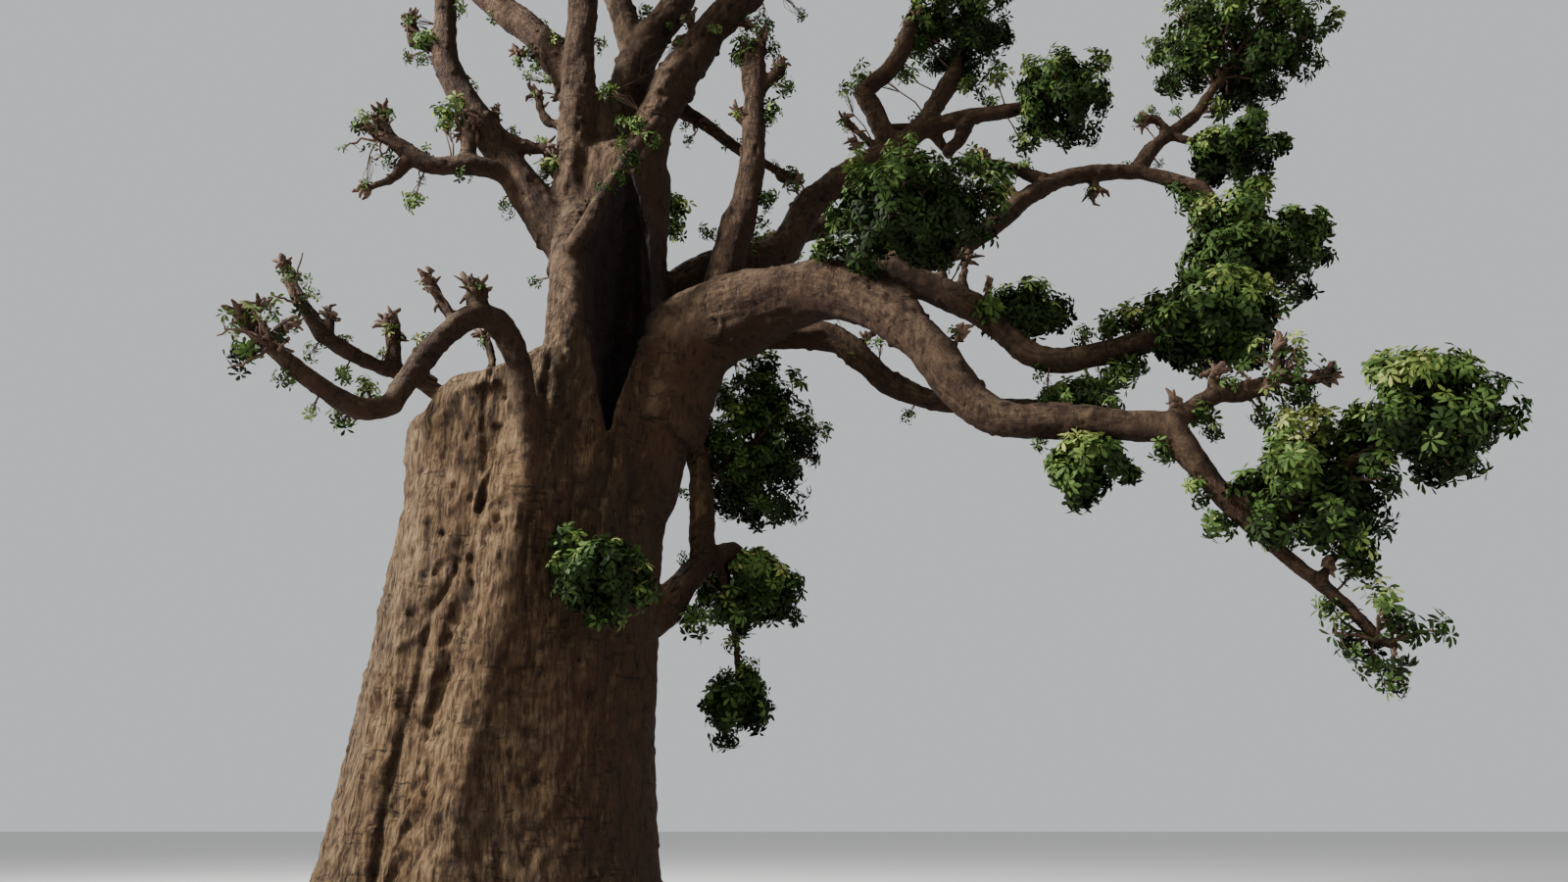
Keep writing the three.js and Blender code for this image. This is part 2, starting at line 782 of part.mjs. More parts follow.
// One mass: a dense one's leaves stand out of its core. An open one's twigs leave its stem in turn, each
// with a leaf at its end and one at its side. Whatever would leave the mass's space, or touch a limb,
// another mass or an earlier leaf, is skipped.
function leafMass(mass, number, taken) {
  const random = seededRandom(SEED * (number + 1));
  const size = new THREE.Vector3(...mass.reach).length();
  const base = THREE.MathUtils.clamp(size * STEM_THICKNESS, STEM_LEAST, STEM_MOST);
  const way = stemWay(mass);
  const pieces = [limb({ way, base, tip: base * STEM_TAPER, sides: STEM_SIDES })];
  let room = taken;

  function growLeaf(spot, outward, depth) {
    const side = new THREE.Vector3(random(), random(), random()).cross(outward).normalize();
    const aim = outward.clone().addScaledVector(side, LEAF_TURN * Math.abs(random()));
    aim.z -= DROOP;
    aim.normalize();
    const length = Math.min(LEAF_LENGTH, roomAhead(spot, aim, mass) + depth);
    const spray = leaf(spot, aim, length, random() * Math.PI, depth);
    if (length > LEAF_LEAST && spray.intersect(room).isEmpty()) {
      pieces.push(spray);
      room = room.add(spray);
    }
  }

  function outTo(outward, share) {
    const middle = new THREE.Vector3(...mass.middle);
    return middle.addScaledVector(outward.clone().multiply(new THREE.Vector3(...mass.reach)), share);
  }

  if (mass.dense) {
    pieces.push(core(mass, random));
    for (const outward of evenDirections(mass.leaves, number)) {
      growLeaf(outTo(outward, CORE_SHARE * LEAF_ROOTS), outward, LEAF_SUNK * CORE_SHARE * size);
    }
    return wasm.Manifold.union(pieces);
  }

  const line = curveThrough(way);
  const shares = Array.from({ length: TWIG_STEPS }, (_, i) => i / TWIG_STEPS);
  const nearness = (share) => inReaches(line.getPointAt(share), mass, mass.middle).length();
  const first = shares.find((share) => nearness(share) < TWIGS_FROM);
  const slim = base * TWIG_THICKNESS;
  const directions = evenDirections(Math.round(mass.leaves / 2), number);
  directions.forEach((outward, i) => {
    const root = line.getPointAt(THREE.MathUtils.lerp(first, LAST_TWIG, (i + 0.5) / directions.length));
    const end = outTo(outward, TWIG_REACH + TWIG_UNEVEN * random());
    const branch = twig(root, end, slim);
    if (branch.intersect(taken).isEmpty()) {
      pieces.push(branch);
      growLeaf(end, outward, slim * TWIG_TAPER * TWIG_SUNK);
      growLeaf(root.lerp(end, SIDE_LEAF_AT), outward.clone().cross(Y_AXIS).normalize(), slim * TWIG_SUNK);
    }
  });
  return wasm.Manifold.union(pieces);
}

function meshOf(name, body, look) {
  const { vertProperties, triVerts } = body.getMesh();
  const geometry = new THREE.BufferGeometry();
  geometry.setAttribute("position", new THREE.BufferAttribute(vertProperties, 3));
  geometry.setIndex(new THREE.BufferAttribute(triVerts, 1));
  geometry.computeVertexNormals();
  const mesh = new THREE.Mesh(geometry, new THREE.MeshStandardMaterial(look));
  mesh.name = name;
  return mesh;
}

function baobab() {
  const tree = new THREE.Group();
  tree.add(meshOf("trunk", trunk(), BARK));
  let wood = trunk(GAP);
  let room = trunk(GROWING_ROOM);
  for (const bough of LIMBS) {
    tree.add(meshOf(bough.name, wholeBody(limb(bough).subtract(wood)), BARK));
    wood = wood.add(limb(bough, GAP));
    room = room.add(limb(bough, GROWING_ROOM));
  }
  MASSES.forEach((mass, number) => {
    const body = wholeBody(leafMass(mass, number, room).subtract(wood));
    tree.add(meshOf(mass.name, body, LEAF));
    room = room.add(body);
  });
  return tree;
}

export default baobab();
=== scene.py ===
"""The baobab's looks around its solids: bark with its relief over the trunk and limbs, and twigs with
hand-shaped leaves in place of the solid masses. Metres, +Z up, in the record's frame."""

import itertools
import math

import bpy
import numpy as np
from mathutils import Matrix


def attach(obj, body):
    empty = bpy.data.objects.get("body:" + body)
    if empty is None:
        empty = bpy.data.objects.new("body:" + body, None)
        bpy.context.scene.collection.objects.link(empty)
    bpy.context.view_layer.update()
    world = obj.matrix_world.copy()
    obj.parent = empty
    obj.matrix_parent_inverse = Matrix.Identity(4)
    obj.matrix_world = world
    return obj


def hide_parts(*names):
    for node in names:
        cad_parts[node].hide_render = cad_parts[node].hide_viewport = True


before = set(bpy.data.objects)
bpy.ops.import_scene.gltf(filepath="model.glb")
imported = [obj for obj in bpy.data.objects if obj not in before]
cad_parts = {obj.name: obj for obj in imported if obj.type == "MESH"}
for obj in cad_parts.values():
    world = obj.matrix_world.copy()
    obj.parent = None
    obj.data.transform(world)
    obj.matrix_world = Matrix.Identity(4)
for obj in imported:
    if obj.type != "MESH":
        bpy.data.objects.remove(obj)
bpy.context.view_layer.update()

bpy.ops.object.select_all(action="DESELECT")

# The trunk, limbs and masses, as in the solids.
FOOT_RADIUS = 2.15
WAIST_RADIUS = 1.56
FLARE_HEIGHT = 1.9
FOOT_OFFSET = -0.1
LEAN = 0.008
TRUNK_DEPTH = 0.96
RIM_HEIGHT = 7.25
RIM_RISE_RIGHT = 0.56
RIM_RISE_BACK = 0.2
LIP_ANGLE = 190
LIP_WIDE = 32
LIP_RISE = 0.12
RIM_CROWN = 0.16
RIM_RISES = (0.4, 0.8, 1)
RIM_WIDTHS = (0.97, 0.86, 0.7)
STEP_ANGLES = (172, 222)  # where the broken rim steps down on the left
STEP_SLOPE = 4
STEP_DROP = 0.14
TRUNK_STEPS = 9
LAST_STEP = (TRUNK_STEPS - 1) / TRUNK_STEPS
RING_CROWDING = 1.25
RIDGES = [  # angle at the foot and turn up to the rim, half width, and rise at the foot and at the rim
    (178, 6, 26, 0.04, 0),
    (-134, 14, 15, 0.07, 0.04),
    (-113, 18, 9, -0.1, -0.06),
    (-96, 18, 13, 0.08, 0.07),
    (-48, 4, 20, 0.05, -0.02),
    (-4, 10, 20, 0.05, 0.12),
    (28, -2, 9, -0.05, -0.03),
    (48, -6, 20, 0.1, 0.03),
    (92, 8, 20, 0.08, 0.02),
    (118, 6, 10, -0.06, -0.03),
    (140, 4, 18, 0.1, 0.02),
]
HEAD = [  # the stem above the shoulder, its top, the swelling of the right limb, and the column in front
    dict(base=0.96, tip=0.73, way=[(0.76, 0.06, 5.6), (0.93, 0.06, 8), (1, 0.1, 9.3), (1.01, 0.15, 10.5)]),
    dict(base=0.75, tip=0.42, way=[(1.01, 0.15, 10.3), (1.03, 0.22, 11)]),
    dict(base=1.08, tip=0.64, foot=0.5, way=[(0.8, 0.1, 5), (1.38, 0.06, 6.65), (2.1, -0.16, 7.82)]),
    dict(base=0.32, tip=0.24, way=[
        (0.72, -1, 5.9), (0.72, -1.16, 6.5), (0.71, -1.26, 7.2), (0.67, -1.19, 7.73), (0.61, -1.03, 8.26),
        (0.56, -0.76, 8.9), (0.62, -0.1, 10)]),
]
HOLLOW_FOOT = 5.95
HOLLOW_HEIGHT = 4.3
HOLLOW_MIDDLE = (1.215, -0.93)
HOLLOW_HALF_WIDTH = 0.44
HOLLOW_HALF_DEPTH = 1.05
HOLLOW_FULLNESS = 1.3
HOLLOW_ENDS = 0.02
HOLLOW_UNEVEN = 0.16
HOLLOW_RINGS = 40
HOLLOW_SIDES = 32
COLLAR = 1.35

LIMBS = {  # its radius at both ends, and its line
    "right_low_bough": dict(base=0.88, tip=0.25, collar=1.7, way=[
        (1.5, 0.1, 6.7), (2.1, -0.08, 7.8), (3, -0.65, 8.04), (3.85, -1.32, 7.98), (4.6, -2.05, 7.39),
        (5.09, -2.54, 6.59)]),
    "right_low_bend": dict(base=0.25, tip=0.165, way=[
        (5.09, -2.54, 6.59), (5.36, -2.8, 6), (5.72, -3.07, 5.62), (6.2, -3.33, 5.52), (6.83, -3.6, 5.37),
        (7.2, -3.8, 5.27)]),
    "right_low_droop": dict(base=0.165, tip=0.058, collar=2, way=[
        (7.2, -3.8, 5.27), (7.4, -3.9, 4.82), (7.64, -3.98, 4.4), (7.99, -4.1, 3.94), (8.42, -4.25, 3.43),
        (8.62, -4.32, 3.12)]),
    "right_low_side": dict(base=0.13, tip=0.09, way=[
        (7.14, -3.76, 5.29), (7.72, -3.7, 5.64), (8.05, -3.65, 5.74)]),
    "right_outer_spur": dict(base=0.13, tip=0.075, way=[
        (7.56, -3.96, 4.52), (8.16, -4.3, 4.42), (8.56, -4.54, 4.7)]),
    "right_second_bough": dict(base=0.24, tip=0.14, way=[
        (3.85, -1.33, 7.9), (4.5, -1.29, 8.23), (5.3, -1.3, 8), (5.93, -1.4, 7.58), (6.5, -1.62, 6.92),
        (7.15, -1.96, 6.84), (7.6, -2.15, 6.91)]),
    "right_third_bough": dict(base=0.19, tip=0.1, way=[
        (4.45, -1.27, 8.3), (5.33, -1, 8.62), (6.02, -0.8, 9.05), (6.8, -0.64, 9.78), (7.43, -0.5, 10.14),
        (8.36, -0.4, 10.26), (9.15, -0.62, 9.88)]),
    "right_third_fork": dict(base=0.12, tip=0.09, way=[
        (8.32, -0.4, 10.24), (8.75, -0.2, 10.84), (9.1, -0.07, 11.16), (9.45, 0, 11.45)]),
    "right_top_bough": dict(base=0.38, tip=0.15, way=[
        (1.3, 0.45, 8.5), (2.59, 0.9, 9.45), (3.3, 1.1, 9.8), (3.82, 1.28, 10.72), (4.35, 1.4, 11.28),
        (5.48, 1.5, 12.13), (6.25, 1.68, 13.45)]),
    "right_top_side": dict(base=0.16, tip=0.125, way=[
        (5.45, 1.52, 12.18), (6.28, 1.3, 12.32), (6.98, 1.1, 12.32)]),
    "right_back_bough": dict(base=0.3, tip=0.11, way=[
        (1.7, 0.4, 7.6), (2.6, 0.42, 8.11), (3.4, 0.32, 8.13), (4.12, 0.3, 8.02), (4.85, 0.06, 7.26),
        (5.52, -0.25, 6.88), (6.5, -0.9, 6.56)]),
    "lower_right_bough": dict(base=0.33, tip=0.14, way=[
        (1.2, 0.3, 3.8), (1.77, 0.4, 4.2), (2.15, 0.65, 4.73), (2.4, 0.85, 5), (2.7, 1.08, 5.17)]),
    "right_post": dict(base=0.295, tip=0.145, way=[
        (2.4, 0.15, 8.3), (2.7, 0.1, 9.55), (2.89, 0.08, 10.35), (2.97, 0.1, 12.02), (2.99, 0.1, 12.45)]),
    "front_slant_limb": dict(base=0.135, tip=0.085, way=[
        (0.42, -0.9, 8.4), (0.64, -1.14, 8.66), (0.86, -1.2, 9.02), (1.06, -1.16, 9.53),
        (1.69, -1.2, 10.6)]),
    "left_stem": dict(base=0.34, tip=0.17, way=[
        (0.47, -0.23, 8.7), (0.43, -0.29, 10.74), (0.39, -0.3, 12.42), (0.4, -0.38, 13.29),
        (0.28, -0.9, 14.7), (0.06, -1.5, 15.9)]),
    "right_stem": dict(base=0.46, tip=0.21, way=[
        (1.05, 0.4, 9.9), (1.01, 0.52, 11.68), (1.1, 0.76, 13.08), (1.61, 0.95, 14.2), (2.01, 1.2, 15.7)]),
    "right_stem_fork": dict(base=0.25, tip=0.15, way=[
        (1.09, 0.74, 13), (0.78, 0.86, 14.02), (0.48, 1.1, 15), (0.15, 1.5, 16.2)]),
    "right_crown_bough": dict(base=0.38, tip=0.24, way=[
        (1.3, 0, 9.5), (1.35, -0.02, 10.7), (1.6, 0.04, 11.7), (1.97, 0.2, 12.62), (2.59, 0.3, 13.65),
        (3.4, 0.4, 14.64)]),
    "right_back_limb": dict(base=0.15, tip=0.08, way=[
        (1.08, 0.7, 12.7), (1.64, 1.2, 12.5), (2.14, 1.4, 12.26), (2.69, 1.5, 11.86), (3.48, 1.7, 11.5)]),
    "left_crown_bough": dict(base=0.345, tip=0.175, way=[
        (0.95, 0.04, 10.7), (0.5, 0, 11.61), (0.1, 0, 12.3), (-0.44, 0.2, 13.07), (-1.23, 0.4, 13.88),
        (-2.11, 0.5, 14.73)]),
    "left_top_bough": dict(base=0.345, tip=0.14, way=[
        (0.7, -0.1, 8.8), (0.12, -0.3, 9.56), (-0.47, -0.4, 10.36), (-1.07, -0.5, 11.26),
        (-1.47, -0.6, 12.02), (-1.54, -0.7, 12.96), (-1.85, -0.98, 14)]),
    "left_top_side": dict(base=0.17, tip=0.11, way=[
        (-0.38, -0.42, 10.2), (-0.9, -0.7, 10.19), (-1.44, -0.82, 10.12), (-1.9, -0.9, 10.4)]),
    "left_front_bough": dict(base=0.2, tip=0.13, foot=0.7, way=[
        (0.42, -1.42, 5), (0.34, -1.77, 6.3), (0.12, -2.02, 7.08), (-0.13, -2.3, 7.18), (-0.46, -2.65, 6.7),
        (-0.74, -3.15, 5.74)]),
    "left_front_reach": dict(base=0.13, tip=0.1, way=[
        (-0.74, -3.15, 5.74), (-0.96, -3.3, 5.64), (-1.28, -3.47, 5.79), (-1.59, -3.6, 5.99)]),
    "left_shoulder_bough": dict(base=0.13, tip=0.095, way=[
        (-0.45, -0.42, 6.15), (-0.78, -0.8, 6.6), (-1.31, -1, 6.93), (-1.71, -1.3, 6.99),
        (-2.23, -1.62, 7.21)]),
    "back_low_bough": dict(base=0.42, tip=0.18, way=[
        (-0.1, 1, 6), (-0.4, 2.4, 7), (-0.7, 3.8, 7), (-0.85, 4.8, 6.8)]),
    "back_high_bough": dict(base=0.38, tip=0.17, way=[
        (0.9, 0.5, 8.9), (0.62, 1.7, 10.1), (0.3, 3.1, 10.6), (0.19, 4.1, 11)]),
    "back_right_bough": dict(base=0.4, tip=0.17, way=[
        (1.5, 0.8, 8.3), (2.54, 2, 9.9), (3.4, 2.9, 11), (4.5, 3.6, 11.8)]),
}
# Masses of leaves: the stem from a limb, the middle, the reach, how many branches, and whether it is full.
MASSES = {name: dict(zip(("stem", "middle", "reach", "branches", "dense"), row)) for name, row in {
    "near_clump": ([(3.9, -1.42, 8), (4.3, -2.05, 8.26)], (4.89, -2.6, 8.4), (1.18, 0.95, 0.9), 26, True),
    "top_spray": ([(6.25, 1.68, 13.45)], (6.42, 1.8, 14.5), (1.13, 0.95, 1.25), 18, True),
    "top_side": ([(6.98, 1.1, 12.32)], (7.83, 0.9, 12.42), (0.9, 0.85, 1.05), 19, True),
    "far_top": ([(9.45, 0, 11.45), (9.9, 0.1, 12.1)], (10.4, 0.2, 12.85), (1.75, 1.25, 1.05), 29, True),
    "far_upper": ([(9, -0.11, 11.06)], (9.85, -0.35, 10.62), (0.82, 0.75, 0.52), 12, True),
    "far_middle": ([(9.15, -0.62, 9.88)], (9.6, -0.9, 8.78), (1.05, 0.95, 1), 24, True),
    "far_lower": ([(7.6, -2.15, 6.91)], (8.42, -2.5, 7.02), (1, 0.78, 0.6), 19, True),
    "side_spray": (
        [(8.05, -3.65, 5.74), (8.5, -3.56, 5.9)],
        (8.56, -3.55, 5.96), (0.68, 0.56, 0.48), 10, False),
    "outer_high": ([(8.56, -4.54, 4.7)], (9.18, -4.8, 5.06), (0.8, 0.75, 0.7), 21, True),
    "outer_low": ([(7.9, -4.06, 4.03)], (8.27, -4.36, 4.52), (0.85, 0.68, 0.76), 20, True),
    "droop_tip": (
        [(8.62, -4.32, 3.12), (8.74, -4.36, 3.06)],
        (8.65, -4.38, 3.23), (0.6, 0.46, 0.45), 8, False),
    "under_bend": (
        [(6.38, -3.41, 5.5), (6.45, -3.42, 5.15)],
        (6.46, -3.42, 4.92), (0.46, 0.4, 0.43), 8, False),
    "second_bough": (
        [(6.15, -1.48, 7.24), (6.28, -1.48, 7.55)],
        (6.42, -1.48, 7.64), (0.7, 0.48, 0.43), 8, False),
    "back_bough": (
        [(6.5, -0.9, 6.56), (6.9, -1.15, 6.5)],
        (7.05, -1.25, 6.42), (0.56, 0.48, 0.42), 8, False),
    "lower_high": (
        [(2.18, 0.66, 4.76), (2.23, 0.8, 5.41), (2.25, 0.95, 6.14)],
        (3, 1.55, 6.78), (0.98, 0.85, 1.72), 26, True),
    "lower_hanging": (
        [(2.48, 0.9, 5.04), (2.64, 1, 4.5), (2.76, 1.2, 3.8), (2.79, 1.29, 3.2)],
        (2.7, 1.3, 3.06), (0.56, 0.48, 0.56), 10, False),
    "lower_right": ([(2.7, 1.08, 5.17)], (2.98, 1.45, 4.64), (0.82, 0.75, 0.64), 18, True),
    "trunk_front": ([(0.9, -1, 4.15)], (1.33, -1.68, 4.2), (0.68, 0.5, 0.54), 13, True),
    "post": ([(2.98, 0.1, 12.45), (2.99, 0.1, 12.85)], (2.99, 0.1, 12.9), (0.45, 0.45, 0.48), 6, False),
    "right_crown": ([(3.4, 0.4, 14.64)], (4.25, 0.15, 15.9), (1.5, 1.3, 1.15), 18, True),
    "right_stem": ([(2.01, 1.2, 15.7)], (2.35, 1.7, 16.9), (1.4, 1.35, 1.05), 16, True),
    "left_fork": ([(0.15, 1.5, 16.2)], (-0.25, 2.1, 17.15), (1.25, 1.2, 0.95), 14, True),
    "left_stem": ([(0.06, -1.5, 15.9)], (-0.15, -2.1, 16.95), (1.45, 1.35, 1.1), 16, True),
    "left_crown": ([(-2.11, 0.5, 14.73)], (-3.05, 0.42, 15.75), (1.45, 1.25, 1.05), 16, True),
    "left_top": ([(-1.85, -0.98, 14)], (-2.35, -1.6, 14.95), (1.05, 1.05, 0.8), 14, True),
    "left_side": (
        [(-1.9, -0.9, 10.4), (-2.2, -0.95, 10.48)],
        (-2.28, -0.97, 10.42), (0.48, 0.42, 0.56), 6, False),
    "left_front": (
        [(-1.59, -3.6, 5.99), (-1.9, -3.75, 6.25)],
        (-1.96, -3.78, 6.28), (0.56, 0.46, 0.62), 8, False),
    "left_shoulder": (
        [(-2.23, -1.62, 7.21), (-2.48, -1.9, 7.6)],
        (-2.52, -1.95, 7.76), (0.38, 0.38, 0.5), 6, False),
    "back_low": ([(-0.85, 4.8, 6.8)], (-0.9, 6.1, 6.8), (1.75, 1.5, 1.4), 22, True),
    "back_high": ([(0.19, 4.1, 11)], (0.16, 5, 11.45), (1.05, 1.1, 0.95), 16, True),
    "back_right": ([(4.5, 3.6, 11.8)], (5.75, 4.05, 12.2), (1.4, 1.25, 1.15), 19, True),
}.items()}

# The trunk's front: folds, ropes and pits, by x and z. Ropes rise and folds sink.
FRONT_FOLDS = [  # the line from its upper end, half width at both ends, rise at both ends
    ([(-0.08, 5.6), (-0.21, 4.91), (-0.42, 4.29), (-0.62, 3.76), (-0.73, 2.96), (-0.81, 2.32), (-0.9, 1.61),
      (-0.88, 1), (-0.92, 0.1)],
     (0.03, 0.045), (-0.015, -0.075)),
    ([(0.18, 5.52), (0.04, 5.04), (-0.23, 4.6), (-0.27, 4.2), (-0.45, 3.85), (-0.56, 2.96), (-0.54, 2.15),
      (-0.68, 1.38), (-0.69, 0.3)],
     (0.07, 0.11), (0.05, 0.15)),
    ([(-0.33, 4.38), (-0.47, 4.03), (-0.7, 3.68), (-1.03, 3.36), (-1.21, 3.03), (-1.35, 2.6)],
     (0.05, 0.06), (0.05, 0.05)),
    ([(-0.38, 4.28), (-0.56, 3.96), (-0.8, 3.58), (-1.12, 3.28), (-1.31, 2.95)],
     (0.05, 0.05), (-0.029, -0.036)),
    ([(-0.94, 5.64), (-0.91, 5.29), (-0.96, 4.9)], (0.06, 0.05), (0.04, 0.03)),
    ([(0.34, 6.52), (0.31, 6.04), (0.34, 5.53), (0.33, 5.1), (0.41, 4.5)], (0.13, 0.1), (0.06, 0.03)),
    ([(0.15, 6.4), (0.22, 5.89), (0.27, 5.4)], (0.05, 0.05), (-0.05, -0.029)),
    ([(0.46, 6.7), (0.49, 6.01), (0.51, 5.5), (0.54, 4.9)], (0.06, 0.05), (-0.086, -0.029)),
    ([(-0.08, 5.6), (-0.17, 5.4), (-0.24, 5.15), (-0.16, 4.85)], (0.05, 0.05), (0.06, 0.04)),
    ([(1.26, 6.1), (1.3, 5.8), (1.24, 5.3), (1.12, 4.7)], (0.05, 0.05), (-0.065, -0.022)),
    ([(1.45, 6.1), (1.54, 5.6), (1.51, 4.86)], (0.05, 0.06), (-0.05, -0.022)),
    ([(1.1, 6.2), (1.05, 5.4), (1.03, 5.0), (1.14, 4.4)], (0.09, 0.07), (0.06, 0.02)),
    ([(0.75, 6.9), (0.8, 6.1), (0.72, 5.2)], (0.07, 0.06), (-0.036, -0.014)),
    ([(-0.6, 6.6), (-0.72, 6), (-0.66, 5.2), (-0.8, 4.4), (-1.06, 3.6)], (0.08, 0.07), (-0.036, -0.022)),
    ([(-1.29, 6.43), (-0.97, 6.31), (-0.73, 6.33), (-0.66, 6.54), (-0.42, 6.63), (-0.04, 6.71)],
     (0.07, 0.07), (0.05, 0.05)),
    ([(1.3, 3.9), (1.36, 3), (1.32, 2), (1.4, 0.8)], (0.09, 0.1), (-0.014, -0.022)),
    ([(0.35, 3.6), (0.28, 2.6), (0.32, 1.5), (0.22, 0.5)], (0.1, 0.1), (-0.011, -0.022)),
    ([(0.26, 2.8), (0.5, 2.92), (0.79, 2.9)], (0.03, 0.03), (-0.014, -0.014)),
    ([(0.3, 3.12), (0.55, 3.2), (0.75, 3.12)], (0.03, 0.03), (-0.014, -0.014)),
    ([(1.48, 2.92), (1.62, 2.86), (1.78, 2.9)], (0.03, 0.03), (-0.018, -0.018)),
    ([(1.25, 2.46), (1.39, 2.42), (1.5, 2.45)], (0.03, 0.03), (-0.018, -0.018)),
]
FRONT_PITS = [  # across, up, half width, depth
    (-0.12, 5.56, 0.05, 0.03), (-0.2, 5.06, 0.035, 0.03), (-0.49, 5.56, 0.05, 0.02),
    (-0.55, 5.24, 0.05, 0.02), (-0.59, 4.79, 0.05, 0.05), (0.59, 2.55, 0.06, 0.05),
    (0.74, 2.25, 0.04, 0.05), (0.74, 2.04, 0.05, 0.05), (0.55, 2.04, 0.03, 0.04), (1.03, 5.15, 0.05, 0.06),
    (1.78, 2.89, 0.05, 0.05), (0.94, 3.55, 0.04, 0.04), (1.74, 2.71, 0.04, 0.05), (0.7, 3.47, 0.04, 0.04),
]
FRONT_STEP = 0.08
FRONT_TOP = 7.4  # how high on the trunk the folds and pits go
FOLD_REACH = 0.6
FOLD_DARK = 0.08  # how deep the folds sink where their painted shade is darkest
KNOBBY_WIDTH = 0.22
KNOBBY_LINE = [(0.1, 5.3), (-0.1, 4.4), (-0.3, 3.7), (-0.42, 2.9), (-0.42, 2.1), (-0.55, 1.3), (-0.5, 0.3)]
HOLLOW_LIGHT = -1.15  # how far back in the hollow its wall is still lit
# how far back in the hollow its painted shade is full
HOLLOW_DARK = -0.5
HEAD_HEIGHTS = (6.8, 8)  # where the trunk's head darkens into the limbs' colour, as painted shade
HEAD_LIMB_SHADE = 0.85
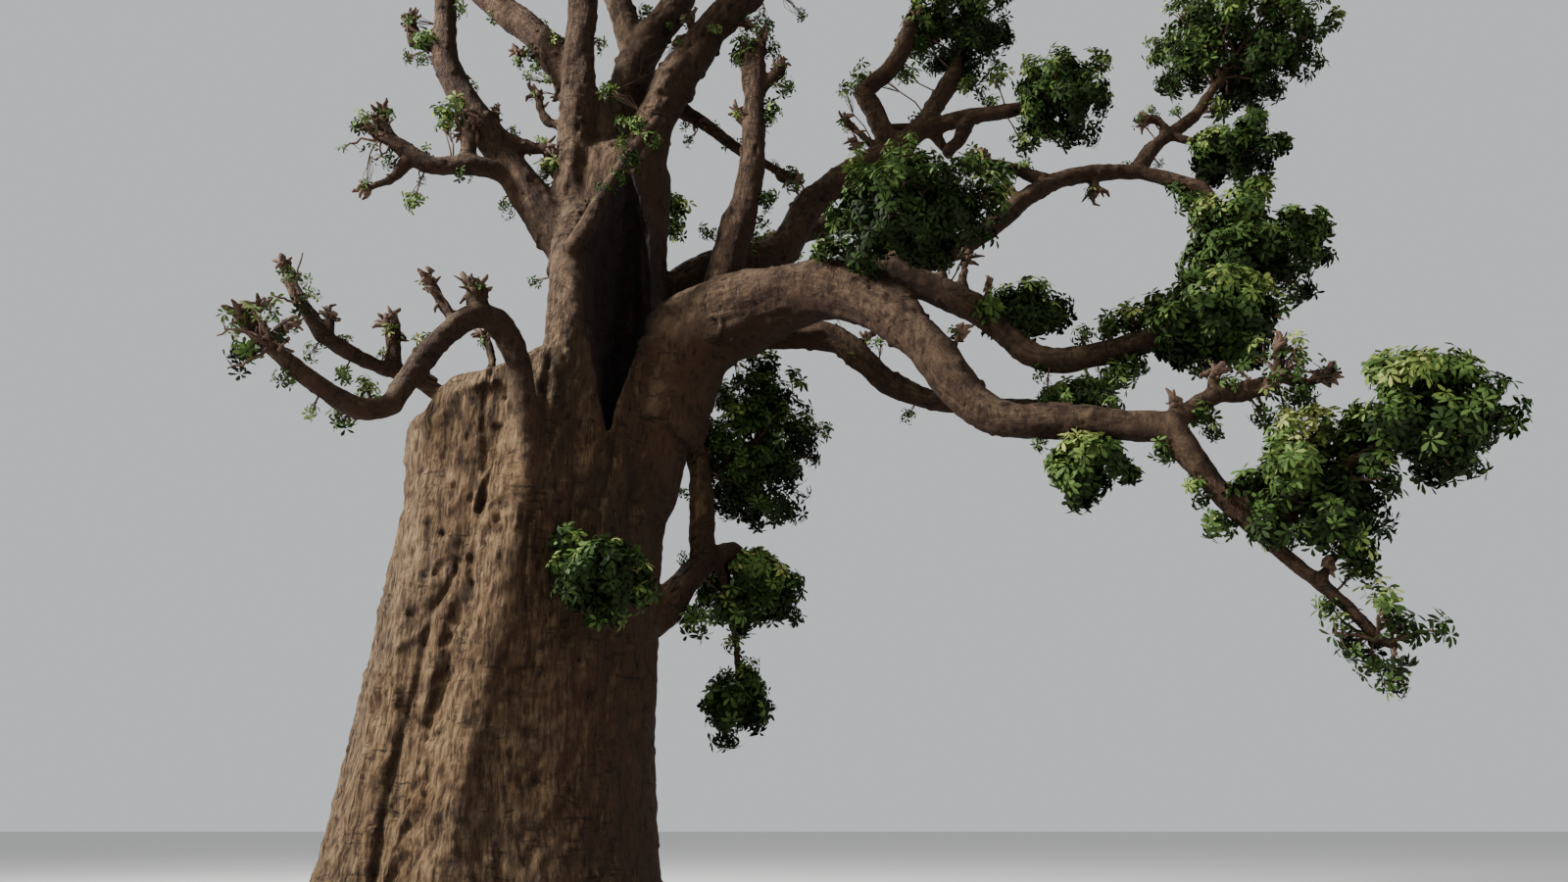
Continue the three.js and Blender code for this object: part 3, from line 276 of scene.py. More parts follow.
STUBS = [  # cut-back limbs: y, radius at root and head, spurs, and the line's x, z and any other y
    (-2.5, 0.08, 0.07, 4, [(-0.33, 6.95), (-0.53, 7.25), (-0.62, 7.4), (-0.68, 7.51)]),
    (-2.31, 0.1, 0.14, 5, [(-0.14, 7.18), (-0.18, 7.37), (-0.19, 7.5)]),
    (-1.13, 0.11, 0.09, 4, [(-1.49, 6.96), (-1.53, 7.31), (-1.57, 7.57)]),
    (-0.26, 0.09, 0.07, 3, [(-0.73, 6.55, -0.76), (-0.51, 7.4), (-0.58, 7.69), (-0.62, 7.79)]),
    (-3.6, 0.07, 0.06, 4, [(-1.59, 5.99), (-1.83, 6.33), (-1.75, 6.44)]),
    (-3.6, 0.09, 0.06, 5, [(-1.59, 5.99), (-2.02, 6.43), (-2.1, 6.64)]),
    (-3.6, 0.08, 0.05, 4, [(-1.59, 5.99), (-2.09, 6.39), (-2.21, 6.53)]),
    (-1.61, 0.1, 0.06, 4, [(-2.21, 7.2), (-2.73, 7.95), (-2.82, 8.19)]),
    (-1.58, 0.06, 0.05, 3, [(-2.16, 7.18), (-2.17, 7.38), (-2.19, 7.48)]),
    (-0.93, 0.05, 0.04, 2, [(-1.14, 6.85), (-1.15, 6.98)]),
    (-0.86, 0.12, 0.08, 3, [(-1.68, 10.24), (-1.93, 10.44), (-2.13, 10.59), (-2.26, 10.67)]),
    (-0.9, 0.08, 0.07, 4, [(-1.88, 10.38), (-2.09, 10.67), (-2.14, 10.86)]),
    (-0.86, 0.09, 0.05, 3, [(-1.68, 10.24), (-1.92, 9.88), (-2.1, 9.79), (-2.22, 9.73)]),
    (-0.72, 0.1, 0.08, 3, [(-0.96, 10.18), (-1.01, 10.56), (-1.07, 10.78)]),
    (-0.7, 0.07, 0.05, 3, [(-0.91, 10.19), (-0.92, 10.61), (-0.92, 10.8)]),
    (-0.62, 0.1, 0.07, 4, [(-1.51, 12.23), (-1.79, 12.34), (-1.94, 12.44), (-2.05, 12.64)]),
    (-0.62, 0.09, 0.07, 3, [(-1.5, 12.17), (-1.75, 12.24), (-1.93, 12.27), (-2.01, 12.51)]),
    (-0.56, 0.06, 0.03, 1, [(-1.35, 11.72), (-1.2, 11.76)]),
    (-0.44, 0.11, 0.08, 4, [(-0.75, 10.76), (-0.49, 10.75), (-0.2, 10.63), (0.08, 10.6)]),
    (-0.47, 0.06, 0.04, 2, [(-0.88, 10.96), (-0.69, 11.09), (-0.71, 11.22)]),
    (-0.29, 0.07, 0.06, 4, [(0.43, 10.92), (-0.05, 11.24), (-0.14, 11.47), (-0.18, 11.6)]),
    (0.1, 0.07, 0.06, 3, [(-0.18, 12.73), (-0.46, 12.62), (-0.63, 12.65)]),
    (0.2, 0.06, 0.05, 2, [(1.97, 12.62), (1.69, 12.94), (1.78, 12.98)]),
    (-0.29, 0.06, 0.04, 2, [(0.41, 11.46), (0.14, 11.51), (0.12, 11.61)]),
    (0.1, 0.13, 0.1, 4, [(2.96, 11.85), (2.87, 12.13), (2.85, 12.44), (2.88, 12.72)]),
    (0.1, 0.12, 0.09, 4, [(2.98, 12.15), (3, 12.51), (3.06, 12.9)]),
    (0.1, 0.12, 0.09, 4, [(2.96, 11.79), (3.08, 12.06), (3.25, 12.23), (3.34, 12.37)]),
    (0.09, 0.07, 0.06, 2, [(2.95, 11.31), (2.72, 11.5), (2.7, 11.6)]),
    (0.24, 0.06, 0.05, 3, [(2.14, 12.94), (1.96, 13.26), (1.93, 13.41)]),
    (0.28, 0.08, 0.06, 3, [(2.45, 13.45), (2.73, 13.37), (2.82, 13.3)]),
    (1.47, 0.2, 0.13, 4, [(5.16, 11.84), (4.96, 12.3), (4.78, 12.79), (4.68, 12.94), (4.85, 13.09),
     (5.11, 13.32), (5.35, 13.74), (5.55, 14.29)]),
    (1.45, 0.1, 0.06, 3, [(4.96, 11.71), (4.73, 12.03), (4.51, 12.24), (4.4, 12.4)]),
    (1.44, 0.08, 0.06, 3, [(4.76, 11.58), (4.59, 11.77), (4.53, 11.95)]),
    (1.54, 0.11, 0.08, 0, [(5.69, 12.4), (6.03, 11.87)]),
    (1.27, 0.12, 0.11, 0, [(6.37, 12.33), (6.18, 11.88), (5.98, 11.66)]),
    (-0.57, 0.11, 0.08, 0, [(7.08, 9.98), (6.67, 10.19), (6.27, 10.28), (5.93, 10.3)]),
    (-0.68, 0.07, 0.04, 3, [(6.61, 9.62), (6.17, 10.4)]),
    (-0.45, 0.08, 0.07, 3, [(7.74, 10.23), (7.73, 9.95)]),
    (-0.14, 0.07, 0.06, 4, [(8.88, 10.98), (8.91, 11.24), (8.77, 11.32), (8.65, 11.27)]),
    (-1.34, 0.08, 0.06, 3, [(5.64, 7.8), (5.68, 8.25), (5.75, 8.44)]),
    (-1.31, 0.09, 0.06, 4, [(5.39, 7.96), (5.42, 8.27), (5.4, 8.4)]),
    (-1.39, 0.05, 0.04, 3, [(5.88, 7.62), (5.98, 7.9), (5.97, 8.01)]),
    (-2.54, 0.06, 0.04, 3, [(5.09, 6.59), (5.37, 6.72), (5.39, 6.82)]),
    (0.23, 0.05, 0.04, 2, [(4.42, 7.75), (4.55, 8.02)]),
    (-0.36, 0.05, 0.04, 2, [(5.71, 6.81), (5.79, 7.17)]),
    (1.64, 0.08, 0.06, 4, [(3.27, 11.59), (3.4, 11.39), (3.59, 11.39)]),
    (1.32, 0.06, 0.05, 2, [(1.9, 12.39), (2.01, 12.24)]),
    (-3.57, 0.06, 0.05, 4, [(8.44, 5.88), (8.45, 6.04), (8.49, 6.19)]),
    (-3.7, 0.06, 0.04, 4, [(7.71, 5.63), (7.7, 5.77), (7.74, 5.9)]),
    (-3.56, 0.06, 0.04, 5, [(8.5, 5.9), (8.77, 5.85), (8.91, 5.89)]),
    (-3.7, 0.07, 0.05, 3, [(7.71, 5.63), (8.01, 5.64), (8.21, 5.71)]),
    (-3.8, 0.05, 0.04, 3, [(7.2, 5.27), (7.29, 5.52)]),
    (-3.99, 0.09, 0.07, 0, [(7.61, 4.51), (7.79, 4.45), (7.94, 4.43)]),
    (-4.19, 0.05, 0.04, 2, [(8.22, 3.64), (8.35, 3.8)]),
    (0.77, 0.18, 0.18, 0, [(2.3, 4.91), (2.28, 5.33), (2.26, 5.96), (2.19, 6.5)]),
]
TUFTS = {  # by limb: how far along it, the tuft's way across and up, its size, its leaves and any way back
    "left_front_bough": [(0.67, -0.39, 0.5, 0.06, 3), (0.6, -0.01, 0.32, 0.09, 5),
        (0.77, -0.1, 0.07, 0.08, 4), (0.53, -0.14, -0.25, 0.06, 3), (1, -0.47, -0.15, 0.12, 9),
        (0.93, 0.01, 0, 0.05, 3)],
    "left_shoulder_bough": [(0.67, 0.07, 0.47, 0.11, 6), (0.7, 0.05, 0.14, 0.06, 3),
        (0.84, -0.08, -0.25, 0.11, 7), (0.89, 0.01, 0.11, 0.07, 4), (0.48, 0.03, 0.09, 0.06, 3)],
    "front_slant_limb": [(0, -0.28, -0.09, 0.07, 4), (0.86, -0.08, 0.07, 0.09, 5),
        (0.9, -0.09, 0.09, 0.12, 9), (0.88, 0.11, -0.1, 0.1, 8), (0.74, 0.03, -0.04, 0.12, 9),
        (0.62, 0.03, -0.02, 0.1, 8), (0.52, -0.01, -0.02, 0.1, 8), (0.78, -0.16, 0.13, 0.09, 6),
        (0.4, -0.02, 0.03, 0.09, 6), (0.96, -0.6, 0.49, 0.12, 9)],
    "leaves_left_front": [(1, -0.16, -0.13, 0.13, 9), (1, -0.09, 0.3, 0.08, 4), (1, -0.3, 0.11, 0.07, 4)],
    "left_front_reach": [(1, -0.08, -0.13, 0.09, 6), (0.67, -0.09, -0.25, 0.05, 3),
        (0.17, -0.08, 0.25, 0.11, 9), (0.11, -0.02, 0.05, 0.08, 5)],
    "leaves_left_shoulder": [(0, -0.08, -0.18, 0.1, 6), (0.89, 0.13, 0.07, 0.08, 5),
        (1, -0.18, 0.38, 0.07, 4), (0.56, -0.15, -0.11, 0.09, 5)],
    "left_top_side": [(0.49, -0.12, 0.83, 0.22, 14), (0.53, -0.11, 0.61, 0.12, 6),
        (0.91, -0.16, -0.23, 0.11, 6), (0.7, -0.11, -0.57, 0.13, 9), (0.7, -0.06, -0.23, 0.05, 2),
        (0.42, 0.02, -0.12, 0.11, 6), (0.74, 0.03, 0.15, 0.11, 6), (0.35, -0.03, 0.06, 0.07, 3)],
    "leaves_left_side": [(0.8, 0.05, 0.36, 0.12, 5), (1, -0.17, 0.27, 0.11, 5),
        (0.6, -0.12, -0.68, 0.09, 4)],
    "left_top_bough": [(0.67, -0.53, -0.05, 0.08, 5), (0.7, -0.27, 0.01, 0.2, 12),
        (0.74, -0.48, 0.05, 0.11, 5), (0.66, -0.31, -0.04, 0.1, 5), (0.79, 0.16, 0, 0.13, 7),
        (0.55, 0.11, 0.11, 0.07, 4), (0.45, 0.16, 0.16, 0.08, 4), (0.39, 0.25, 0.21, 0.08, 5),
        (0.33, 0.43, 0.38, 0.1, 6), (0.26, 0.31, 0.28, 0.18, 12), (0.23, 0.11, 0.12, 0.11, 6),
        (0.27, -0.29, -0.25, 0.07, 4), (0.23, -0.3, -0.27, 0.05, 2)],
    "left_stem": [(0.42, -0.75, 0.03, 0.09, 4), (0.42, -0.49, 0.03, 0.09, 4), (0.39, -0.63, 0, 0.07, 3),
        (0.52, -0.37, 0.02, 0.1, 6), (0.39, -0.14, 0.02, 0.09, 4), (0.06, -0.15, 0.02, 0.08, 4),
        (0, -0.07, -0.56, 0.07, 4)],
    "left_crown_bough": [(0.5, -0.3, -0.38, 0.09, 5), (0.42, -0.24, -0.24, 0.07, 4),
        (0.71, -0.08, -0.14, 0.14, 8), (0.23, 1.36, 0.96, 0.09, 4)],
    "right_stem": [(0.4, -0.23, 0.02, 0.12, 6), (0.06, 0.67, 0.48, 0.21, 16, 0.9),
        (0, 0.62, 0.45, 0.2, 14, 0.9)],
    "right_post": [(1, -0.16, 0.31, 0.22, 14), (1, -0.26, 0.06, 0.13, 7), (0.9, 0.43, -0.01, 0.13, 8),
        (0.97, 0.34, -0.03, 0.12, 5), (0.81, 0.22, -0.03, 0.15, 9), (0.76, 0.17, -0.01, 0.12, 6),
        (0.79, -0.24, -0.01, 0.07, 3), (0.46, 0.31, -0.07, 0.14, 9), (0.39, 0.28, -0.1, 0.11, 6)],
    "right_top_bough": [(0.21, -0.29, 0.89, 0.12, 7, 0.4), (0.85, -0.97, 0.8, 0.24, 14),
        (0.7, -0.55, 1.23, 0.14, 6), (1, -0.67, 0.53, 0.3, 22), (0.93, -0.59, 0.38, 0.16, 9),
        (1, -0.52, 1.09, 0.33, 22), (0.66, -0.33, 0.76, 0.1, 4), (0.67, -0.15, 0.27, 0.08, 3),
        (0.83, -0.1, 0.1, 0.11, 5), (0.99, 0.21, -0.2, 0.18, 10), (0.99, 0.43, -0.33, 0.13, 6),
        (0.87, 0.11, -0.05, 0.08, 4)],
    "right_back_limb": [(0.43, -0.17, -0.37, 0.09, 5), (0.29, -0.02, -0.04, 0.08, 4),
        (0.51, 0.04, 0.09, 0.08, 3), (1, 0.05, -0.04, 0.16, 7), (0.9, 0.03, 0.02, 0.09, 4)],
    "right_crown_bough": [(0.66, -0.31, 0.26, 0.08, 4), (0.77, 0.16, -0.22, 0.12, 7),
        (0.75, 0.04, -0.04, 0.09, 4), (0.93, 0.51, -0.75, 0.09, 5)],
    "right_top_side": [(0.98, 0.23, -0.62, 0.2, 12), (0.98, -0.08, 0.71, 0.19, 12),
        (0.83, 0.01, 0.2, 0.13, 6)],
    "right_third_bough": [(0.46, -0.55, 0.76, 0.14, 8), (0.46, -0.43, 0.56, 0.16, 12),
        (0.48, -0.24, 0.41, 0.19, 14), (0.55, -0.16, 0.34, 0.12, 7), (0.71, 0.03, -0.3, 0.08, 5),
        (0.94, -0.01, -0.1, 0.14, 10), (0.98, -0.08, -0.23, 0.16, 12), (0.81, 0.02, 0.09, 0.07, 3)],
    "right_third_fork": [(0.49, -0.25, 0.36, 0.1, 5), (0.63, -0.18, 0.38, 0.09, 5),
        (0.84, -0.09, 0.18, 0.1, 6), (0.98, 0.34, 0.14, 0.17, 10), (0.28, 0.12, -0.11, 0.06, 3)],
    "right_second_bough": [(0.39, 0.27, 0.53, 0.08, 5), (0.52, 0.16, 0.28, 0.07, 5),
        (0.63, 0.34, 0.33, 0.22, 26), (0.65, 0.06, 0.11, 0.12, 10), (0.85, 0, 0.27, 0.11, 10),
        (0.92, -0.04, 0.3, 0.15, 18), (0.99, -0.05, 0.33, 0.16, 20), (1, 0.19, 0.44, 0.16, 20),
        (1, 0.49, 0.55, 0.15, 16), (0.96, 0.07, -0.23, 0.14, 14), (0.91, 0.05, -0.32, 0.17, 20),
        (0.85, 0.02, -0.39, 0.13, 12), (0.79, 0, -0.05, 0.08, 6), (0.73, -0.04, -0.17, 0.09, 7),
        (0.76, -0.06, -0.43, 0.11, 8)],
    "right_low_bend": [(0.56, -0.01, -0.23, 0.07, 6), (0.66, 0.02, 0.24, 0.07, 6),
        (0.78, 0.06, 0.2, 0.08, 6), (0.98, -0.05, -0.26, 0.11, 14), (0.92, 0, -0.05, 0.06, 4)],
    "right_low_side": [(0.41, 0.04, -0.1, 0.13, 14), (0.47, 0.11, -0.29, 0.09, 8),
        (0.82, 0.01, 0.08, 0.1, 8)],
    "right_low_droop": [(0.23, -0.1, -0.07, 0.08, 9), (0.38, -0.17, -0.14, 0.13, 15),
        (0.28, -0.14, -0.09, 0.07, 7), (0.35, 0.15, 0.15, 0.07, 6), (0.56, 0.08, 0.05, 0.07, 7),
        (0.81, -0.08, -0.07, 0.07, 7), (0.81, 0.16, 0.18, 0.07, 6), (0.96, -0.13, -0.13, 0.1, 10),
        (0.99, -0.06, -0.29, 0.1, 11), (0.99, 0.14, 0.09, 0.06, 6)],
    "leaves_droop_tip": [(0.91, -0.08, -0.32, 0.11, 11)],
    "leaves_outer_low": [(0.61, 0.43, -0.42, 0.16, 26), (0.52, 0.58, -0.55, 0.09, 10),
        (0.78, 0.33, -0.29, 0.12, 16)],
    "leaves_side_spray": [(0.12, 0.06, -0.31, 0.11, 9), (1, 0.16, -0.21, 0.13, 12),
        (0.75, 0.04, -0.39, 0.08, 6), (1, 0.42, 0.05, 0.08, 5), (1, 0.03, 0.25, 0.09, 6)],
    "leaves_far_lower": [(0.87, 0.03, -0.36, 0.17, 18), (0.6, 0.04, -0.48, 0.13, 12),
        (0.53, 0.03, -0.16, 0.13, 12)],
    "lower_right_bough": [(0.69, -0.16, 0.14, 0.08, 5), (0.67, 0.48, -0.49, 0.26, 28),
        (0.43, 0.35, -0.27, 0.2, 18), (0.99, 0.32, -0.65, 0.19, 16)],
    "leaves_lower_hanging": [(0.66, -0.02, 0.01, 0.13, 9), (0.78, 0.12, -0.01, 0.12, 8),
        (0.84, -0.15, -0.02, 0.11, 7)],
    "leaves_lower_high": [(0.44, -0.17, 0.04, 0.08, 5), (1, 0.69, 0.37, 0.23, 16), (1, 0.98, 0.34, 0.13, 7),
        (1, 0.03, 1.4, 0.3, 26), (1, -0.34, 1.56, 0.18, 12), (0.93, -0.43, 0.99, 0.22, 16),
        (0.77, -0.18, 0.49, 0.17, 12)],
    "leaves_near_clump": [(0.3, -0.18, 0.13, 0.17, 18), (0.52, -0.21, 0.27, 0.19, 20),
        (1, 0.99, 0.18, 0.16, 16)],
    "right_back_bough": [(0.52, 0.15, 0.15, 0.07, 4), (0.71, -0.13, -0.32, 0.08, 5),
        (0.82, 0.08, 0.37, 0.06, 4)],
    "right_low_bough": [(1, 0.25, 0.25, 0.06, 4)],
    "leaves_trunk_front": [(0.67, -0.29, 0.48, 0.18, 26), (0, -0.11, 0.03, 0.2, 26),
        (0.96, 0.39, 0.15, 0.17, 18), (0.96, 0.48, -0.15, 0.15, 16), (0.81, 0.21, -0.35, 0.15, 14)],
}

# How finely the wood is made.
BODY_RINGS = 110
BODY_SIDES = 150
LIMB_SIDES = 20
LIMB_RING = 0.12
LIMB_UNEVEN = 0.07
JAG = 0.1  # how ragged the broken shoulder is
JAG_WIDTH = 13  # and over how many degrees
FOOT_LENGTH = 0.34  # how much of a limb narrows towards its foot
STEM_BASE = 0.07
STEM_TIP = 0.045
GRAIN = 0.03  # the size of the wood's faces
BLEND = 0.2  # how far from where two limbs meet their skins are smoothed into each other
CROSSING_LIMB = "front_slant_limb"  # it stands in front of the hollow
BLUNT = 0.6  # how far a limb's rounded end stands out, of its radius
HEAD_SEED, LIMB_SEED, STEM_SEED, STUB_SEED, CROSSING_SEED = 0, 10, 40, 80, 5
FAR = 9.0  # more than any gap that counts
CREASE_STEPS = 5  # how many strengths of smoothing there are where limbs meet
VOTES = 3  # how often each face goes to the limb that most faces round it belong to
UNPINCHINGS = 6  # how often corners where a piece meets itself are looked for
CREASE_SMOOTHINGS = 20  # rounds of smoothing where limbs meet
SMOOTHINGS = 2  # and everywhere
GROUND_FADE = (0.02, 0.25)  # where the relief fades out above the ground
AT_ONCE = 20000  # how many spots are measured in one go
NEAR = 0.05  # a mass's stem that starts this near a limb's end goes on from it
CURVE_STEPS = 24  # how finely a curve is followed from one of its points to the next
GOLDEN = math.pi * (3 - math.sqrt(5))
PRIMES = (73856093, 19349663, 83492791, 2654435761)
MIXERS = ((15, 2246822519), (13, 3266489917))
LOW_BITS = 0xFFFFFFFF


def noise_of(spots, size, seed):
    """Smooth noise from -1 to 1, in bumps of that size."""
    place = np.asarray(spots, float) / size
    cell = np.floor(place).astype(np.int64)
    share = place - cell
    ease = share * share * (3 - 2 * share)
    total = np.zeros(place.shape[:-1])
    for corner in itertools.product((0, 1), repeat=3):
        x, y, z = np.moveaxis(cell + corner, -1, 0)
        mix = x * PRIMES[0] ^ y * PRIMES[1] ^ z * PRIMES[2] ^ (seed + 1) * PRIMES[3]
        for shift, factor in MIXERS:
            mix = ((mix ^ mix >> shift) * factor) & LOW_BITS
        total += np.prod(np.where(corner, ease, 1 - ease), axis=-1) * ((mix >> 8 & 0xFFFF) / 32767.5 - 1)
    return total


def unit(ways):
    return ways / np.maximum(np.linalg.norm(ways, axis=-1, keepdims=True), 1e-9)


def any_way(random):
    """A random direction."""
    return unit(random.normal(0, 1, 3))


def smooth_step(value, low, high):
    """0 below low, 1 above high, and smooth between."""
    share = np.clip((value - low) / (high - low), 0, 1)
    return share * share * (3 - 2 * share)


def run_of(line):
    """How far along a line each of its points is."""
    return np.concatenate([[0], np.cumsum(np.linalg.norm(np.diff(line, axis=0), axis=1))])


def along(way, step):
    """Even steps along the smooth curve through way, which the solids' limbs follow too."""
    spots = np.array(way, float)
    padded = np.vstack([2 * spots[0] - spots[1], spots, 2 * spots[-1] - spots[-2]])
    share = np.linspace(0, 1, CURVE_STEPS + 1)[1:, None]
    fine = [spots[:1]]
    for before, start, end, after in zip(padded, padded[1:], padded[2:], padded[3:]):
        lead, span, tail = (
            math.sqrt(math.dist(one, two)) for one, two in ((before, start), (start, end), (end, after))
        )
        leave = ((start - before) / lead - (end - before) / (lead + span)) * span + end - start
        arrive = ((after - end) / tail - (after - start) / (span + tail)) * span + end - start
        fine.append(
            start + leave * share
            + (3 * (end - start) - 2 * leave - arrive) * share**2
            + (2 * (start - end) + leave + arrive) * share**3
        )
    fine = np.vstack(fine)
    run = run_of(fine)
    even = np.linspace(0, run[-1], max(3, round(run[-1] / step) + 1))
    return np.stack([np.interp(even, run, fine[:, axis]) for axis in range(3)], axis=1)


def directions(line):
    """The way a line runs at each of its points, and two directions across it that turn with it."""
    ahead = np.gradient(line, axis=0)
    ahead /= np.linalg.norm(ahead, axis=1, keepdims=True)
    side = np.cross(ahead[0], (0, 1, 0) if abs(ahead[0][1]) < 0.9 else (1, 0, 0))
    across = []
    for way in ahead:
        side = side - way * (side @ way)
        side = side / np.linalg.norm(side)
        across.append(side)
    across = np.array(across)
    return ahead, across, np.cross(ahead, across)


def rings_round(line, radii, sides):
    """Rings of corners round a line."""
    _, across, up = directions(line)
    turn = np.linspace(0, 2 * math.pi, sides, endpoint=False)[None, :, None]
    out = np.cos(turn) * across[:, None] + np.sin(turn) * up[:, None]
    return line[:, None] + radii[:, None, None] * out


def walls_of(rings):
    """The corners' numbers in rings, the same one step round, and the faces between the rings."""
    this = np.arange(rings.shape[0] * rings.shape[1]).reshape(rings.shape[:2])
    right = np.roll(this, -1, axis=1)
    return this, right, np.stack([this[:-1], right[:-1], right[1:], this[1:]], axis=-1).reshape(-1, 4)


def skin(rings, foot, head):
    """The corners, quads and triangles of a closed skin over rings, with a point at each end."""
    this, right, walls = walls_of(rings)
    low = np.stack([right[0], this[0], np.full_like(this[0], this.size)], axis=-1)
    high = np.stack([this[-1], right[-1], np.full_like(this[0], this.size + 1)], axis=-1)
    return np.vstack([rings.reshape(-1, 3), [foot, head]]), walls, np.vstack([low, high])


def thin_tube(line, radii, sides):
    """The corners, quads and triangles of a closed thin skin along a line, with flat ends."""
    rings = rings_round(line, radii, sides)
    this, _, walls = walls_of(rings)
    fan = np.array([(0, k, k + 1) for k in range(1, sides - 1)])
    return rings.reshape(-1, 3), walls, np.vstack([this[0][::-1][fan], this[-1][fan]])


def joined(shells):
    """One set of corners and groups of faces from several closed skins."""
    corners, *groups = zip(*shells)
    starts = np.cumsum([0] + [len(spots) for spots in corners])
    return np.vstack(corners), [
        np.vstack([faces + start for faces, start in zip(group, starts)]) for group in groups
    ]


def limb_width(limb, share):
    """A limb's radius that far along it."""
    return limb["tip"] + (limb["base"] - limb["tip"]) * (1 - share) ** limb.get("collar", COLLAR)


def limb_radii(limb, count):
    """The radius along a limb, which narrows at its foot where it comes out of the trunk's front."""
    share = np.linspace(0, 1, count)
    foot = 1 - limb.get("foot", 0) * np.clip(1 - share / FOOT_LENGTH, 0, 1) ** 2
    return foot * limb_width(limb, share)


def limb_tube(limb, seed):
    """A limb's closed and slightly uneven skin, with a blunt rounded end."""
    line = along(limb["way"], LIMB_RING)
    radii = limb_radii(limb, len(line)) * (1 + LIMB_UNEVEN * noise_of(line, 0.6, seed))
    ahead = unit(line[-1] - line[-2])
    line = np.vstack([line] + [line[-1:] + ahead * radii[-1] * BLUNT * rise for rise in (0.5, 0.87)])
    radii = np.concatenate([radii, radii[-1] * np.array([0.87, 0.5])])
    return skin(rings_round(line, radii, LIMB_SIDES), line[0], line[-1])


def near_ridge(angle, ridge, wide):
    """How near an angle is to a ridge, from 0 to 1."""
    away = (angle - ridge + 180) % 360 - 180
    return np.exp(-((away / wide) ** 2))


def trunk_radius(angle, level, height):
    """The trunk's radius by angle in degrees, with the solids' ridges and folds."""
    width = 1 + sum(
        (low + (high - low) * level) * near_ridge(angle, foot + turn * level, wide)
        for foot, turn, wide, low, high in RIDGES
    )
    fade = np.clip((level - LAST_STEP) * TRUNK_STEPS + 1, 0, 1)
    width = width + LIP_RISE * fade * near_ridge(angle, LIP_ANGLE, LIP_WIDE)
    return (WAIST_RADIUS + (FOOT_RADIUS - WAIST_RADIUS) * np.exp(-height / FLARE_HEIGHT)) * width


def rim_height(angle):
    """How high the broken shoulder is, without its raggedness."""
    turn = np.radians(angle)
    return RIM_HEIGHT + RIM_RISE_RIGHT * np.cos(turn) + RIM_RISE_BACK * np.sin(turn)


def trunk_skin():
    """The trunk up to its broken shoulder."""
    angle = np.linspace(0, 360, BODY_SIDES, endpoint=False)[None, :]
    level = np.linspace(0, LAST_STEP, BODY_RINGS)[:, None]
    jag = noise_of(np.stack([angle / JAG_WIDTH, 0 * angle, 0 * angle], axis=-1), 1, 5)
    into, past = ((angle - end) / STEP_SLOPE for end in STEP_ANGLES)
    step = np.clip(into, 0, 1) * np.clip(-past, 0, 1)
    rim = rim_height(angle) + JAG * jag - STEP_DROP * step
    height = rim * (level / LAST_STEP) ** RING_CROWDING
    radius = trunk_radius(angle, level, height)
    top_height = rim + RIM_CROWN * np.array(RIM_RISES)[:, None]
    top_radius = radius[-1:] * np.array(RIM_WIDTHS)[:, None]
    height = np.vstack([height, top_height])
    radius = np.vstack([radius, top_radius])
    middle = FOOT_OFFSET + LEAN * height**2
    turn = np.radians(angle)
    rings = np.stack([middle + np.cos(turn) * radius, np.sin(turn) * radius * TRUNK_DEPTH, height], axis=-1)
    return skin(rings, (FOOT_OFFSET, 0, 0), rings[-1].mean(axis=0))


def hollow_fullness(level):
    """How wide the hollow is at each height, of its widest."""
    return np.sin(math.pi * (HOLLOW_ENDS + (1 - 2 * HOLLOW_ENDS) * level) ** HOLLOW_FULLNESS)


def hollow_skin():
    """The tall lens that the hollow takes out of the head."""
    level = np.linspace(0, 1, HOLLOW_RINGS)[:, None]
    fullness = hollow_fullness(level)
    turn = np.linspace(0, 2 * math.pi, HOLLOW_SIDES, endpoint=False)[None, :]
    x = HOLLOW_MIDDLE[0] + HOLLOW_HALF_WIDTH * fullness * np.cos(turn)
    y = HOLLOW_MIDDLE[1] + HOLLOW_HALF_DEPTH * np.sqrt(fullness) * np.sin(turn)
    z = HOLLOW_FOOT + HOLLOW_HEIGHT * level + 0 * turn
    rings = np.stack([x, y, z], axis=-1)
    uneven = noise_of(rings, (0.3, 0.3, 1.2), 6) + 0.6 * noise_of(rings, (0.12, 0.12, 0.9), 7)
    middle = rings.mean(axis=1, keepdims=True)
    rings = middle + (rings - middle) * (1 + HOLLOW_UNEVEN * uneven[..., None])
    return skin(rings, rings[0].mean(axis=0), rings[-1].mean(axis=0))


def piece_of(name, corners, groups):
    """A mesh object from its corners and groups of faces, where each group's faces have as many corners."""
    mesh = bpy.data.meshes.new(name)
    sizes = np.concatenate([np.full(len(faces), faces.shape[1]) for faces in groups])
    loops = np.concatenate([faces.ravel() for faces in groups])
    mesh.vertices.add(len(corners))
    mesh.vertices.foreach_set("co", np.asarray(corners, np.float32).ravel())
    mesh.loops.add(len(loops))
    mesh.loops.foreach_set("vertex_index", loops.astype(np.int32))
    mesh.polygons.add(len(sizes))
    mesh.polygons.foreach_set("loop_start", (np.cumsum(sizes) - sizes).astype(np.int32))
    mesh.update(calc_edges=True)
    piece = bpy.data.objects.new(name, mesh)
    bpy.context.scene.collection.objects.link(piece)
    return piece


def modified(piece, kind, **settings):
    """The piece, with a modifier applied."""
    modifier = piece.modifiers.new(kind.title(), kind)
    for name, value in settings.items():
        setattr(modifier, name, value)
    bpy.context.view_layer.objects.active = piece
    bpy.ops.object.modifier_apply(modifier=modifier.name)
    return piece


def read(items, what, count, kind=np.float32):
    """What a mesh holds for each of its items, that many numbers for each, as one row."""
    values = np.empty(len(items) * count, kind)
    items.foreach_get(what, values)
    return values


def vectors_of(piece, what):
    return read(piece.data.vertices, what, 3).reshape(-1, 3).astype(float)


